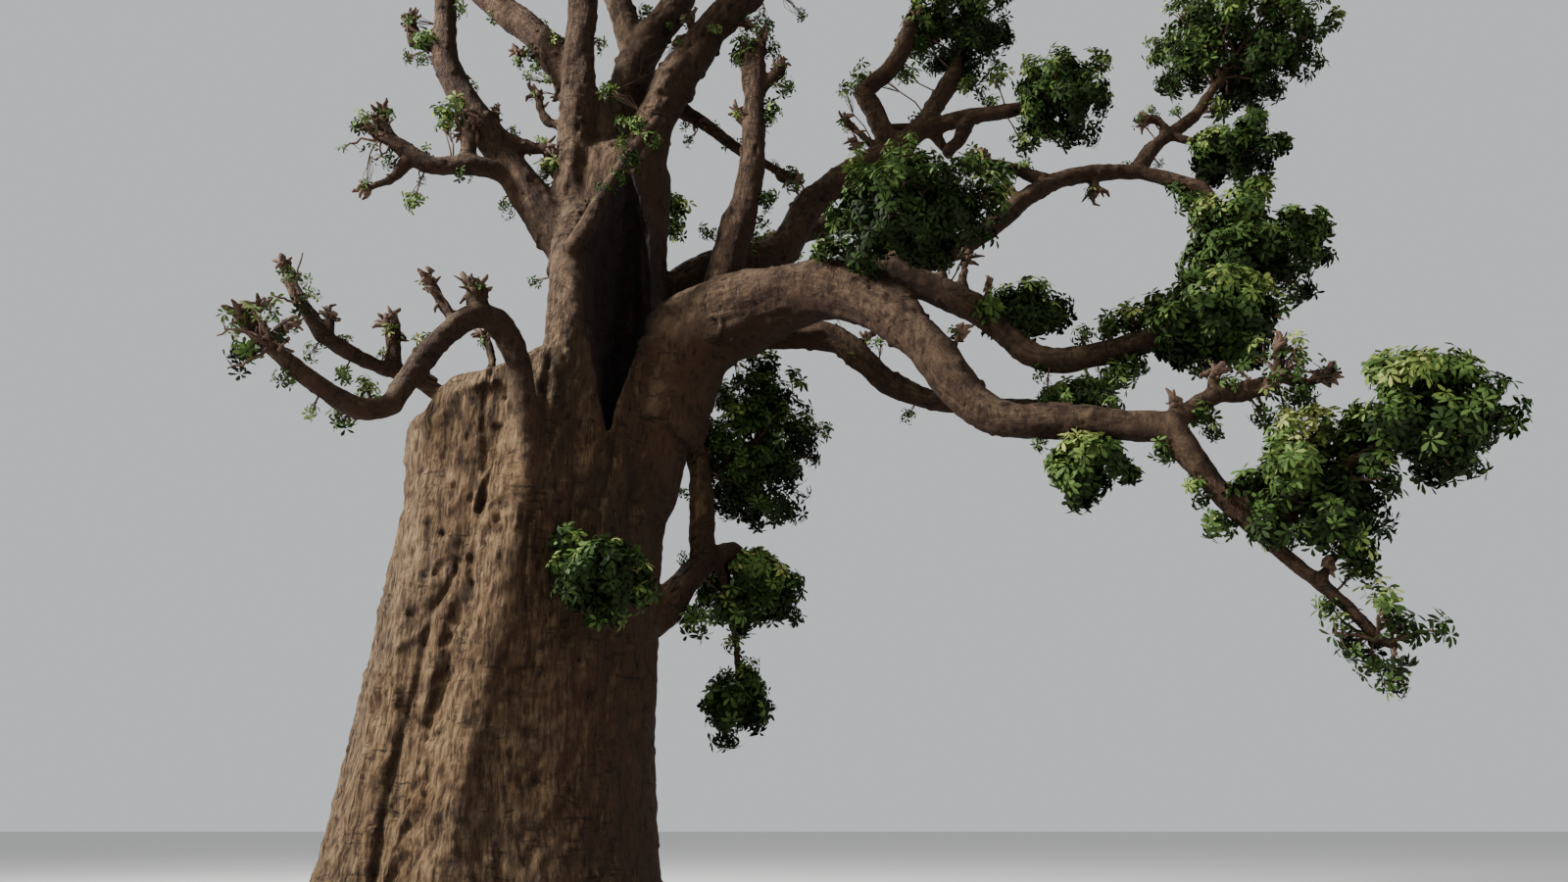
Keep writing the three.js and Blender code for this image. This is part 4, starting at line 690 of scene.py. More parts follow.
def mass_stem(mass):
    """The stem that goes on from a limb's end into a mass of leaves."""
    way = list(mass["stem"]) + ([mass["middle"]] if mass["dense"] else [])
    carriers = [limb["tip"] for limb in LIMBS.values() if math.dist(limb["way"][-1], way[0]) < NEAR]
    base = carriers[0] if carriers else STEM_BASE
    return dict(way=way if len(way) > 1 else way + [mass["middle"]], base=base, tip=min(base, STEM_TIP))


def stub_limb(stub):
    """A cut-back limb's row, told as the limbs are."""
    depth, base, tip, _, points = stub
    return dict(way=[(x, other[0] if other else depth, z) for x, z, *other in points], base=base, tip=tip)


def whole_wood():
    """The trunk and every limb as one closed skin, with the hollow cut out behind the limb across it."""
    crossing_limb = LIMBS[CROSSING_LIMB]
    tubes = list(zip(itertools.count(HEAD_SEED), HEAD))
    tubes += [row for row in zip(itertools.count(LIMB_SEED), LIMBS.values()) if row[1] is not crossing_limb]
    tubes += list(zip(itertools.count(STEM_SEED), map(mass_stem, MASSES.values())))
    wood = piece_of("wood", *joined([trunk_skin()] + [limb_tube(limb, seed) for seed, limb in tubes]))
    modified(wood, "REMESH", mode="VOXEL", voxel_size=GRAIN)
    hollow = piece_of("hollow", *joined([hollow_skin()]))
    modified(wood, "BOOLEAN", operation="DIFFERENCE", solver="MANIFOLD", object=hollow)
    bpy.data.objects.remove(hollow)
    stubs = [limb_tube(stub_limb(stub), seed) for seed, stub in enumerate(STUBS, STUB_SEED)]
    crossing = piece_of("crossing", *joined([limb_tube(crossing_limb, CROSSING_SEED)] + stubs))
    crossing.select_set(True)
    wood.select_set(True)
    bpy.context.view_layer.objects.active = wood
    bpy.ops.object.join()
    wood.select_set(False)
    return modified(wood, "REMESH", mode="VOXEL", voxel_size=GRAIN)


def near_limb(spots, limb):
    """How far spots are outside a limb, and their place along and across it."""
    line = along(limb["way"], LIMB_RING)
    radii = limb_radii(limb, len(line))
    ahead, across, up = directions(line)
    run = run_of(line)
    gap = np.full(len(spots), FAR)
    grain = np.zeros((len(spots), 3))
    reach = radii.max() + 2 * BLEND
    close = (spots > line.min(axis=0) - reach) & (spots < line.max(axis=0) + reach)
    close = np.flatnonzero(close.all(axis=1))
    for few in np.array_split(close, len(close) // AT_ONCE + 1):
        nearest = np.linalg.norm(spots[few, None] - line[None], axis=2).argmin(axis=1)
        away = spots[few] - line[nearest]
        forward = (away * ahead[nearest]).sum(axis=1)
        over = forward - np.clip(forward, -LIMB_RING, LIMB_RING)
        side = (away * across[nearest]).sum(axis=1)
        rise = (away * up[nearest]).sum(axis=1)
        gap[few] = np.sqrt(side**2 + rise**2 + over**2) - radii[nearest]
        grain[few] = np.stack([side, rise, run[nearest] + forward], axis=1)
    return gap, grain


def near_trunk(spots):
    """How far spots are outside the trunk up to its shoulder."""
    x = spots[:, 0] - FOOT_OFFSET - LEAN * spots[:, 2] ** 2
    y = spots[:, 1] / TRUNK_DEPTH
    angle = np.degrees(np.arctan2(y, x))
    rim = rim_height(angle)
    level = (np.clip(spots[:, 2] / rim, 0, 1)) ** (1 / RING_CROWDING)
    out = np.hypot(x, y) - trunk_radius(angle, level, spots[:, 2])
    return np.maximum(out, spots[:, 2] - rim)


def beside(x, z, way):
    """How far each place in the front view is from a line, and how far along it, from 0 to 1."""
    line = along([(a, 0, b) for a, b in way], FRONT_STEP)[:, (0, 2)]
    run = np.linspace(0, 1, len(line))
    gap = np.full(len(x), FAR)
    share = np.zeros(len(x))
    for start, end, begun, done in zip(line, line[1:], run, run[1:]):
        span = end - start
        part = np.clip(((x - start[0]) * span[0] + (z - start[1]) * span[1]) / (span @ span), 0, 1)
        here = np.hypot(x - start[0] - part * span[0], z - start[1] - part * span[1])
        nearer = here < gap
        gap[nearer] = here[nearer]
        share[nearer] = (begun + part * (done - begun))[nearer]
    return gap, share


def front_relief(spots, facing):
    """The folds, ropes and pits of the trunk's front, as rise and as the shade painted into its sunk folds
    and pits.
    """
    rise, dark = np.zeros((2, len(spots)))
    front = np.flatnonzero((facing < -0.1) & (spots[:, 1] < -0.3) & (spots[:, 2] < FRONT_TOP))
    x = spots[front, 0] + 0.03 * noise_of(spots[front], 0.35, 31)
    z = spots[front, 2]
    shown = smooth_step(-facing[front], 0.1, 0.45)
    for way, wide, deep in FRONT_FOLDS:
        low, high = np.min(way, axis=0) - FOLD_REACH, np.max(way, axis=0) + FOLD_REACH
        near = np.flatnonzero((x > low[0]) & (x < high[0]) & (z > low[1]) & (z < high[1]))
        gap, share = beside(x[near], z[near], way)
        width = wide[0] + (wide[1] - wide[0]) * share
        height = deep[0] + (deep[1] - deep[0]) * share**1.6
        shape = np.exp(-((gap / width) ** 2)) * smooth_step(np.minimum(share, 1 - share), -0.02, 0.08)
        rise[front[near]] += height * shape * shown[near]
        # painted shade in the folds that sink
        dark[front[near]] += np.clip(-height / FOLD_DARK, 0, 1) * shape * shown[near]
    for across, up, wide, deep in FRONT_PITS:
        shape = np.exp(-(((x - across) / wide) ** 2) - ((z - up) / (wide * 1.2)) ** 2) * shown
        rise[front] -= deep * shape
        # painted shade in the pits
        dark[front] += 0.9 * shape
    return rise, dark


def trunk_relief(spots, ways):
    """The trunk's relief, as rise and as the shade painted into its folds, pits and low cords."""
    rise, dark = front_relief(spots, ways[:, 1])
    sway = [noise_of(spots, 0.9, 40), noise_of(spots, 0.9, 41), 0 * spots[:, 2]]
    bend = spots + 0.12 * np.stack(sway, axis=1)
    columns = noise_of(bend, (0.5, 0.5, 2.6), 42)
    cords = noise_of(bend, (0.17, 0.17, 0.9), 43)
    folds = np.clip(1 - np.abs(noise_of(bend, (0.34, 0.34, 2.2), 44)) * 4, 0, 1)
    lumps = noise_of(bend, (0.12, 0.12, 0.2), 45)
    wrinkles = noise_of(spots, (0.3, 0.3, 0.045), 46) * smooth_step(noise_of(spots, 0.5, 47), 0.05, 0.5)
    knobs = smooth_step(noise_of(bend, (0.11, 0.11, 0.15), 48), 0.5, 0.9)
    pits = smooth_step(noise_of(spots, (0.09, 0.09, 0.12), 49), 0.72, 0.95)
    quiet = smooth_step(noise_of(spots, 1.3, 50), -0.5, 0.4)
    rise += 0.026 * columns + 0.012 * cords - 0.03 * folds * quiet + 0.018 * lumps + 0.008 * wrinkles
    rise += 0.03 * knobs * quiet - 0.035 * pits + 0.007 * noise_of(bend, 0.07, 55)
    near, _ = beside(spots[:, 0], spots[:, 2], KNOBBY_LINE)
    knobby = np.exp(-((near / KNOBBY_WIDTH) ** 2)) * smooth_step(-ways[:, 1], 0.1, 0.4)
    rise += knobby * (0.035 * noise_of(spots, (0.11, 0.11, 0.13), 51) + 0.02 * noise_of(spots, 0.06, 52))
    # painted shade in the folds, pits and low cords
    dark += 0.5 * folds * quiet + 0.8 * pits + 0.12 * np.clip(-cords, 0, 1)
    return rise, dark


def limb_relief(spots, grain, thick):
    """A limb's relief, as rise and as the shade painted into its pits and grooves."""
    lumps = noise_of(grain, (0.16, 0.16, 0.3), 60)
    cords = noise_of(grain, (0.07, 0.07, 0.45), 61)
    rings = noise_of(grain, (0.2, 0.2, 0.05), 62) * smooth_step(noise_of(spots, 0.6, 63), -0.1, 0.5)
    knobs = smooth_step(noise_of(spots, 0.13, 64), 0.55, 0.9)
    pits = smooth_step(noise_of(spots, 0.1, 65), 0.7, 0.92)
    bulges = noise_of(spots, 0.42, 66)
    rough = noise_of(spots, 0.075, 67)
    rise = 0.03 * lumps + 0.012 * cords + 0.01 * rings + 0.04 * knobs - 0.035 * pits + 0.035 * bulges
    rise = np.clip(thick / 0.3, 0.35, 1) * rise + 0.009 * rough
    # painted shade in the pits and in the low cords and rings
    return rise, 0.7 * pits + 0.15 * np.clip(-cords - rings, 0, 1)


def hollow_depth(spots):
    """How far inside the hollow each spot is, from 0 to 1, and so how much shade is painted there: none near
    its mouth, where its wall is still lit.
    """
    level = np.clip((spots[:, 2] - HOLLOW_FOOT) / HOLLOW_HEIGHT, 0, 1)
    fullness = hollow_fullness(level)
    across = (spots[:, 0] - HOLLOW_MIDDLE[0]) / (HOLLOW_HALF_WIDTH * fullness + 0.03)
    deep = (spots[:, 1] - HOLLOW_MIDDLE[1]) / (HOLLOW_HALF_DEPTH * np.sqrt(np.abs(fullness)) + 0.03)
    inside = 1 - smooth_step(np.hypot(across, deep), 1, 1.25)
    inside *= (spots[:, 2] > HOLLOW_FOOT - 0.1) & (spots[:, 2] < HOLLOW_FOOT + HOLLOW_HEIGHT + 0.1)
    return inside * smooth_step(spots[:, 1], HOLLOW_LIGHT, HOLLOW_DARK)


def shared(gaps, reach):
    """How near each spot is to where two parts of the wood meet, from 0 to 1."""
    two = np.partition(gaps, 1, axis=0)
    return np.clip(1 - (two[1] - two[0]) / reach, 0, 1)


def sculpted_wood():
    """The wood's corners, faces and what the bark's colour goes by, and which limb each face belongs to."""
    wood = whole_wood()
    spots = vectors_of(wood, "co")
    names = ["trunk"] + list(LIMBS)
    parts = [near_trunk(spots)] + [near_limb(spots, head)[0] for head in HEAD]
    limb_gaps, limb_grains = zip(*(near_limb(spots, limb) for limb in LIMBS.values()))
    gaps = np.array([np.min(parts, axis=0), *limb_gaps])
    grains = np.array([spots, *limb_grains])
    owner = gaps.argmin(axis=0)
    meeting = shared(gaps, BLEND)
    creased = np.maximum(meeting, shared(np.vstack([parts, gaps[1:]]), 2 * BLEND))
    group = wood.vertex_groups.new(name="creased")
    for step in range(1, CREASE_STEPS + 1):
        mine = np.flatnonzero(np.round(creased * CREASE_STEPS) == step)
        group.add(mine.tolist(), step / CREASE_STEPS, "REPLACE")
    modified(wood, "SMOOTH", factor=0.5, iterations=CREASE_SMOOTHINGS, vertex_group="creased")
    modified(wood, "SMOOTH", factor=0.5, iterations=SMOOTHINGS)
    spots = vectors_of(wood, "co")
    ways = vectors_of(wood, "normal")
    grain = grains[owner, np.arange(len(spots))]
    thick = np.full(len(spots), 0.5)
    for number, limb in enumerate(LIMBS.values(), 1):
        mine = owner == number
        length = run_of(along(limb["way"], LIMB_RING))[-1]
        thick[mine] = limb_width(limb, np.clip(grain[mine, 2] / length, 0, 1))
    body = owner == 0
    # how far the limbs' darker colour reaches: over the limbs, and over the trunk's head as painted shade
    high = HEAD_LIMB_SHADE * smooth_step(spots[:, 2], *HEAD_HEIGHTS)
    limb = np.maximum(smooth_step(gaps[0], 0, 0.5) * ~body, high)
    rise, dark = np.zeros((2, len(spots)))
    rise[body], dark[body] = trunk_relief(spots[body], ways[body])
    rise[~body], dark[~body] = limb_relief(spots[~body], grain[~body], thick[~body])
    hollow = hollow_depth(spots)
    apart = 1 - smooth_step(meeting, 0.1, 0.9)
    rise = rise * apart + (1 - apart) * 0.012 * noise_of(spots, 0.15, 56)
    swayed = spots + 0.1 * noise_of(spots, 0.5, 53)[:, None]
    rise += hollow * 0.045 * noise_of(swayed, (0.16, 0.16, 1.6), 54)
    foot = smooth_step(spots[:, 2], *GROUND_FADE)
    spots = spots + ways * (rise * foot)[:, None]
    spots[:, 2] = np.maximum(spots[:, 2], 0)
    faces = read(wood.data.loops, "vertex_index", 1, np.int32).reshape(-1, 4)
    bpy.data.objects.remove(wood)
    # the relief's darkness goes out as the shade painted into folds, pits and grooves
    return spots, faces, owner, names, dict(
        painted_recess_shade=np.clip(dark, 0, 1), hollow=hollow, grain=grain, apart=apart, limb=limb
    )


def settled(faces, owner, count):
    """Which part each face belongs to, with ragged edges and stray patches given to their neighbours."""
    part = owner[faces[:, 0]]
    for _ in range(VOTES):
        votes = np.zeros((owner.size, count), np.int16)
        np.add.at(votes, (faces.ravel(), np.repeat(part, 4)), 1)
        part = votes[faces].sum(axis=1).argmax(axis=1)
    return part


def rim_of(faces):
    """The directed edges of the faces that no other of the faces shares."""
    sides = np.stack([faces, np.roll(faces, -1, axis=1)], axis=-1).reshape(-1, 2)
    key = sides.min(axis=1) * (faces.max() + 1) + sides.max(axis=1)
    _, first, times = np.unique(key, return_index=True, return_counts=True)
    return sides[first[times == 1]]


def unpinched(faces, part):
    """The same parts, changed where one part meets itself in a single corner."""
    for _ in range(UNPINCHINGS):
        changed = False
        for number in np.unique(part):
            rim = rim_of(faces[part == number])
            spots, times = np.unique(rim, return_counts=True)
            pinched = spots[times > 2]
            if len(pinched):
                here = np.isin(faces, pinched).any(axis=1)
                part[here] = number
                changed = True
        if not changed:
            break
    return part


def cut_piece(name, chosen, wood, ways):
    """The chosen faces as a piece of their own, closed where they are cut from the next piece."""
    spots, faces, marks = wood
    used, numbers = np.unique(faces[chosen], return_inverse=True)
    quads = numbers.reshape(-1, 4)
    rim = rim_of(quads)
    loop = np.arange(len(used))
    while True:
        before = loop.copy()
        low = np.minimum(loop[rim[:, 0]], loop[rim[:, 1]])
        np.minimum.at(loop, rim[:, 0], low)
        np.minimum.at(loop, rim[:, 1], low)
        loop = loop[loop]
        if (loop == before).all():
            break
    groups, which = np.unique(loop[rim[:, 0]], return_inverse=True)
    middles = np.array([spots[used[rim[which == number, 0]]].mean(axis=0) for number in range(len(groups))])
    corners = np.vstack([spots[used], middles.reshape(-1, 3)])
    caps = np.stack([rim[:, 1], rim[:, 0], len(used) + which], axis=-1)
    piece = piece_of(name, corners, [quads, caps])
    for mark, values in marks.items():
        kind = "FLOAT_VECTOR" if values.ndim == 2 else "FLOAT"
        fill = values[used]
        fill = np.concatenate([fill, np.zeros((len(groups),) + fill.shape[1:])])
        layer = piece.data.attributes.new(mark, kind, "POINT")
        layer.data.foreach_set("vector" if values.ndim == 2 else "value", fill.astype(np.float32).ravel())
    facing = np.vstack([ways[used][quads.ravel()], np.repeat(face_ways(corners, caps), 3, axis=0)])
    piece.data.shade_smooth()
    piece.data.normals_split_custom_set(facing.tolist())
    return piece


def face_ways(corners, triangles):
    """The direction that each triangle faces."""
    one, two, three = (corners[triangles[:, k]] for k in range(3))
    return unit(np.cross(two - one, three - one))


def smooth_ways(corners, faces):
    """The direction that each corner of the wood faces."""
    across = corners[faces[:, 2]] - corners[faces[:, 0]]
    other = corners[faces[:, 3]] - corners[faces[:, 1]]
    way = np.cross(across, other)
    total = np.zeros_like(corners)
    for side in range(4):
        np.add.at(total, faces[:, side], way)
    return unit(total)


class Wire:
    """A value in a material's node tree, which can be used in sums."""

    def __init__(self, tree, socket):
        self.tree, self.socket = tree, socket

    def node(self, kind, settings, outlet=0, **inputs):
        made = self.tree.nodes.new("ShaderNode" + kind)
        for name, value in settings.items():
            setattr(made, name, value)
        for name, value in inputs.items():
            place = made.inputs[int(name[1:])] if name[0] == "_" else made.inputs[name.replace("_", " ")]
            if isinstance(value, Wire):
                self.tree.links.new(value.socket, place)
            else:
                place.default_value = value
        return Wire(self.tree, made.outputs[outlet])

    def sum(self, how, one, two):
        return self.node("Math", dict(operation=how), _0=one, _1=two)

    def __add__(self, other):
        return self.sum("ADD", self, other)

    def __radd__(self, other):
        return self.sum("ADD", other, self)

    def __sub__(self, other):
        return self.sum("SUBTRACT", self, other)

    def __rsub__(self, other):
        return self.sum("SUBTRACT", other, self)

    def __mul__(self, other):
        return self.sum("MULTIPLY", self, other)

    def __rmul__(self, other):
        return self.sum("MULTIPLY", other, self)

    def step(self, low, high):
        """0 below low, 1 above high, and smooth between."""
        return self.node("MapRange", dict(interpolation_type="SMOOTHSTEP"), _0=self, _1=low, _2=high)

    def mix(self, one, two):
        """Colour one where this is 0 and colour two where it is 1."""
        return self.node("Mix", dict(data_type="RGBA"), 2, _0=self, _6=one, _7=two)

    def vectors(self, how, other):
        return self.node("VectorMath", dict(operation=how), _0=self, _1=other)

    def times(self, scale):
        """This place scaled along each axis."""
        return self.vectors("MULTIPLY", scale)

    def warped(self, scale, amount):
        """This place, pushed about by a noise."""
        push = self.node("TexNoise", {}, 1, Vector=self, Scale=scale, Detail=3.0)
        return self.vectors("ADD", push.vectors("SUBTRACT", (0.5, 0.5, 0.5)).times((amount,) * 3))

    def into(self, shader, name):
        self.tree.links.new(self.socket, shader.inputs[name])

    def noise(self, scale, detail=4.0, rough=0.55):
        return self.node("TexNoise", {}, 0, Vector=self, Scale=scale, Detail=detail, Roughness=rough)


def colour(red, green, blue):
    return (red, green, blue, 1)


def new_material(name, rough):
    material = bpy.data.materials.new(name)
    material.use_nodes = True
    shader = material.node_tree.nodes["Principled BSDF"]
    shader.inputs["Roughness"].default_value = rough
    shader.inputs["Specular IOR Level"].default_value = GLOSS
    return material, shader


def painted(material):
    """The start of a material's nodes, and the place on the piece that they are laid out by."""
    start = Wire(material.node_tree, None)
    return start, start.node("TexCoord", {}, 3)


def bark_material():
    material, shader = new_material("bark", BARK_ROUGH)
    start, place = painted(material)
    painted_recess_shade, hollow, lit, apart, limb = (
        start.node("Attribute", dict(attribute_name=name), 2)
        for name in ("painted_recess_shade", "hollow", "lit", "apart", "limb")
    )
    grain = start.node("Attribute", dict(attribute_name="grain"), 1)
    broad = place.noise(0.5, 3.0).step(0.38, 0.62)
    patches = place.noise(1.6, 6.0, 0.62).step(0.36, 0.66)
    blotches = place.noise(4.5, 5.0, 0.65).step(0.52, 0.7)
    bent = place.warped(2.2, 0.12)
    lumps = bent.times((1, 1, 0.6)).noise(7.5, 10.0, 0.68)
    fibres = (grain.warped(2.2, 0.06).times((1, 1, 0.15)).noise(26.0, 4.0, 0.6) - 0.5) * apart + 0.5
    streaks = (grain.warped(2.2, 0.2).times((1, 1, 0.14)).noise(8.0, 5.0, 0.62) - 0.5) * apart + 0.5
    scarred = place.noise(1.3, 3.0).step(0.42, 0.6)
    cuts = bent.times((0.4, 0.4, 1.7)).noise(12.0, 5.0, 0.62).step(0.56, 0.66) * scarred
    slits = bent.times((1.6, 1.6, 0.35)).noise(12.0, 5.0, 0.62).step(0.57, 0.68)
    grit = place.noise(42.0, 5.0, 0.72)
    tan = patches.mix(BARK_WARM, BARK_PALE)
    tan = (broad * 0.55).mix(tan, BARK_GREY)
    tan = (blotches * 0.45).mix(tan, BARK_DARK_TONE_AND_SHADE)
    # the limbs' and head's darker colour, partly their own bark and partly painted shade
    tan = (limb * 0.9).mix(tan, patches.mix(BARK_LIMB, BARK_LIMB_PALE))
    # painted highlight on the limbs' sides that face the key light
    tan = (lit.step(0.55, 1.0) * patches * limb * 0.5).mix(tan, BARK_GREY_LIT)
    # painted shade on the sides that face away from the key light
    tan = ((1 - lit) * 0.8).mix(tan, BARK_SHADED_SIDE)
    tan = (streaks.step(0.5, 0.68) * 0.4).mix(tan, BARK_DARK_TONE_AND_SHADE)
    # painted shade in the low places between the lumps
    tan = ((1 - lumps.step(0.34, 0.5)) * 0.65).mix(tan, BARK_DARK_TONE_AND_SHADE)
    # painted highlight on the raised lumps that face the key light
    tan = (lumps.step(0.42, 0.72) * lit * (0.34 - limb * 0.2)).mix(tan, BARK_LIT)
    # painted highlight on the raised fibres that face the key light
    tan = (fibres.step(0.46, 0.64) * lit * (0.3 - limb * 0.24)).mix(tan, BARK_LIT)
    # painted shade in the grooves between the fibres
    tan = ((1 - fibres.step(0.36, 0.5)) * (0.65 - limb * 0.25)).mix(tan, BARK_DARK_TONE_AND_SHADE)
    # painted shade in the cuts and slits
    tan = ((cuts + slits) * 0.6).mix(tan, BARK_RECESS_SHADE)
    tan = (grit.step(0.58, 0.72) * 0.35).mix(tan, BARK_DARK_TONE_AND_SHADE)
    # painted shade in the folds, pits and grooves
    tan = (painted_recess_shade * 0.55).mix(tan, BARK_RECESS_SHADE)
    # painted shade deep in the hollow, a little lighter on raised lumps
    tan = (hollow * (1 - lumps.step(0.5, 0.75) * 0.5)).mix(tan, HOLLOW_SHADE)
    tan.into(shader, "Base Color")
    height = lumps * 1.2 + streaks * 0.6 + fibres * (0.8 - limb * 0.4) + grit * 0.25
    height = height - cuts * 0.4 - slits * 0.4
    start.node("Bump", {}, 0, Height=height, Strength=1.0, Distance=0.15).into(shader, "Normal")
    return material


def twig_material():
    material, shader = new_material("twig bark", TWIG_ROUGH)
    _, place = painted(material)
    place.noise(6.0, 4.0).step(0.35, 0.65).mix(TWIG_DARK, TWIG_PALE).into(shader, "Base Color")
    return material


def leaf_material(name, shade):
    material, shader = new_material(name, LEAF_ROUGH)
    shader.inputs["Base Color"].default_value = shade
    shader.inputs["Specular IOR Level"].default_value = LEAF_GLOSS
    return material


def leaflet(length, wide, droop):
    """The six corners of a leaflet along x, with its tip hanging."""
    along_it = np.array([0.1, 0.4, 0.4, 0.74, 0.74, 1]) * length
    side = np.array([0, 0.34, -0.34, 0.5, -0.5, 0]) * wide
    fall = -droop * length * (along_it / length) ** 2
    return np.stack([along_it, side, fall], axis=1)


LEAFLET_FACES = np.array([(0, 1, 2), (1, 3, 4), (1, 4, 2), (3, 5, 4)])
LEAFLET_SPANS = ((0.115, 0.15), (0.045, 0.056), (0.15, 0.5))  # the least and the most length, width and droop
LEAFLET_TILTS = (-0.25, 0.35)
LEAFLET_ROLLS = (-0.4, 0.4)
LEAFLETS = (5, 8)
STALK_HALF_WIDTH = 0.003
STALK_LENGTH = 0.09


def turned(x, y, angle):
    """x and y, turned by an angle."""
    return x * math.cos(angle) - y * math.sin(angle), x * math.sin(angle) + y * math.cos(angle)


def hand_leaf(random):
    """A hand-shaped leaf round +Z, on its stalk: corners and faces."""
    count = random.integers(*LEAFLETS)
    corners, faces = [], []
    for number in range(count):
        turn = 2 * math.pi * (number + random.uniform(-0.2, 0.2)) / count
        blade = leaflet(*[random.uniform(*span) for span in LEAFLET_SPANS])
        x, z = turned(blade[:, 0], blade[:, 2], random.uniform(*LEAFLET_TILTS))
        roll = random.uniform(*LEAFLET_ROLLS)
        y, z = blade[:, 1] * math.cos(roll), z + blade[:, 1] * math.sin(roll)
        faces.append(LEAFLET_FACES + 6 * number)
        corners.append(np.stack([*turned(x, y, turn), z], axis=1))
    wide, low = STALK_HALF_WIDTH, -STALK_LENGTH
    stalk = np.array([(-wide, 0, low), (wide, 0, low), (wide, 0, 0), (-wide, 0, 0)])
    faces.append(np.array([(0, 1, 2), (0, 2, 3)]) + 6 * count)
    return np.vstack(corners + [stalk]), np.vstack(faces)


def frames_of(ways, random):
    """A turn for each direction that takes +Z to it, with a random spin."""
    helper = np.where(np.abs(ways[:, 2:]) < 0.9, [[0, 0, 1]], [[1, 0, 0]])
    side = unit(np.cross(helper, ways))
    other = np.cross(ways, side)
    spin = random.uniform(0, 2 * math.pi, len(ways))[:, None]
    one = side * np.cos(spin) + other * np.sin(spin)
    return np.stack([one, np.cross(ways, one), ways], axis=2)


def leaves_piece(name, spots, ways, sizes, shades, random):
    """One mesh of hand-shaped leaves, each in its shade."""
    turns = frames_of(unit(ways), random)
    kind = random.integers(0, len(HAND_LEAVES), len(spots))
    corners, faces, colours, start = [], [], [], 0
    for number, (shape, triangles) in enumerate(HAND_LEAVES):
        mine = np.flatnonzero(kind == number)
        placed = np.einsum("nij,kj->nki", turns[mine], shape) * sizes[mine, None, None] + spots[mine, None]
        corners.append(placed.reshape(-1, 3))
        first = start + len(shape) * np.arange(len(mine))
        faces.append((triangles + first[:, None, None]).reshape(-1, 3))
        colours.append(np.repeat(shades[mine], len(triangles)))
        start += placed.shape[0] * placed.shape[1]
    piece = piece_of(name, np.vstack(corners), [np.vstack(faces)])
    for material in LEAF_MATERIALS:
        piece.data.materials.append(material)
    piece.data.polygons.foreach_set("material_index", np.concatenate(colours).astype(np.int32))
    piece.data.update()
    return piece


def bowed(start, end, bow, random, steps):
    """A twig's line from start to end, bowed aside and a little down."""
    share = np.linspace(0, 1, steps + 1)[:, None]
    length = np.linalg.norm(end - start)
    aside = random.normal(0, bow, 3) * length
    aside[2] = abs(aside[2]) * 0.6
    kink = random.normal(0, bow * 0.3, (steps + 1, 3)) * length
    kink[[0, -1]] = 0
    return start + (end - start) * share + aside * 4 * share * (1 - share) + kink


def crown(mass, sparse, random):
    """A mass's twigs, as lines with their radii and sides, and its leaves, as places and directions."""
    middle, reach = np.array(mass["middle"]), np.array(mass["reach"])
    stem = along(mass_stem(mass)["way"], STEM_STEP)
    twigs, spots, ways = [], [], []
    count, twig_count = mass["branches"], sparse or TWIGS_FULL
    for number in range(count):
        rise = 1 - (2 * number + 1) / count
        turn = GOLDEN * number
        flat = math.sqrt(1 - rise * rise)
        out = np.array([flat * math.cos(turn), flat * math.sin(turn), rise])
        out = unit(out + random.normal(0, 0.15, 3))
        lobe = LOBE_MEAN + LOBE_UNEVEN * noise_of((out * 1.7 + middle)[None], 1, 90)[0]
        tip = middle + out * reach * min(lobe + random.uniform(-0.14, 0.12), LOBE_MOST)
        nearest = np.linalg.norm(stem - tip, axis=1).argmin()
        back = int(np.linalg.norm(stem[nearest] - tip) * BRANCH_SLANT / STEM_STEP)
        branch = bowed(stem[max(nearest - back, len(stem) // 4)], tip, 0.1, random, 7)
        twigs.append((branch, np.linspace(STEM_THICK, TWIG_THICK, len(branch)), 5))
        heading = unit(branch[-1] - branch[0])
        for k in range(twig_count):
            share = BARE_SHARE + (1 - BARE_SHARE) * (k + random.uniform(0.2, 0.8)) / twig_count
            place = share * (len(branch) - 1)
            low = int(min(place, len(branch) - 2))
            fork = branch[low] + (branch[low + 1] - branch[low]) * (place - low)
            way = unit(heading * 0.55 + any_way(random) * 0.85 + (0, 0, 0.12))
            length = reach.mean() * random.uniform(*TWIG_LENGTHS)
            twig = bowed(fork, inside(fork + way * length, middle, reach, 0.9), 0.12, random, 4)
            twigs.append((twig, np.linspace(TWIG_THICK, TWIG_END, len(twig)), 3))
            leaves = random.integers(*(LEAVES_SPARSE if sparse else LEAVES_FULL))
            for leaf in range(leaves):
                share = 1 - leaf / leaves * 0.85
                spot = twig[0] + (twig[-1] - twig[0]) * share + random.normal(0, 0.02, 3)
                outward = unit((spot - middle) / reach)
                aim = unit(way * 0.5 + any_way(random) * 0.75 + outward * 0.5 + (0, 0, 0.35))
                spots.append(inside(spot + aim * STALK_LENGTH, middle, reach, 0.93))
                ways.append(aim)
    return twigs, np.array(spots), np.array(ways)


def inside(spot, middle, reach, share):
    """spot, drawn in to within that share of the mass's reach."""
    over = np.linalg.norm((spot - middle) / reach) / share
    return spot if over < 1 else middle + (spot - middle) / over


def shades_of(spots, ways, mass, shaded, random):
    """A green for each leaf, with light and shade painted in: lighter outside, on top and on the side towards
    the key light, darker inside, below and in shaded masses, and uneven at random.
    """
    place = (spots - mass["middle"]) / mass["reach"]
    light = 0.45 * np.linalg.norm(place, axis=1) + 0.35 * place[:, 2] + 0.2 * ways[:, 2]
    light = light - 0.12 * place[:, 0]
    light = light + random.normal(0, 0.2, len(spots)) + 0.25 * noise_of(spots, 0.45, 70) - shaded
    return np.digitize(light, SHADE_STEPS)


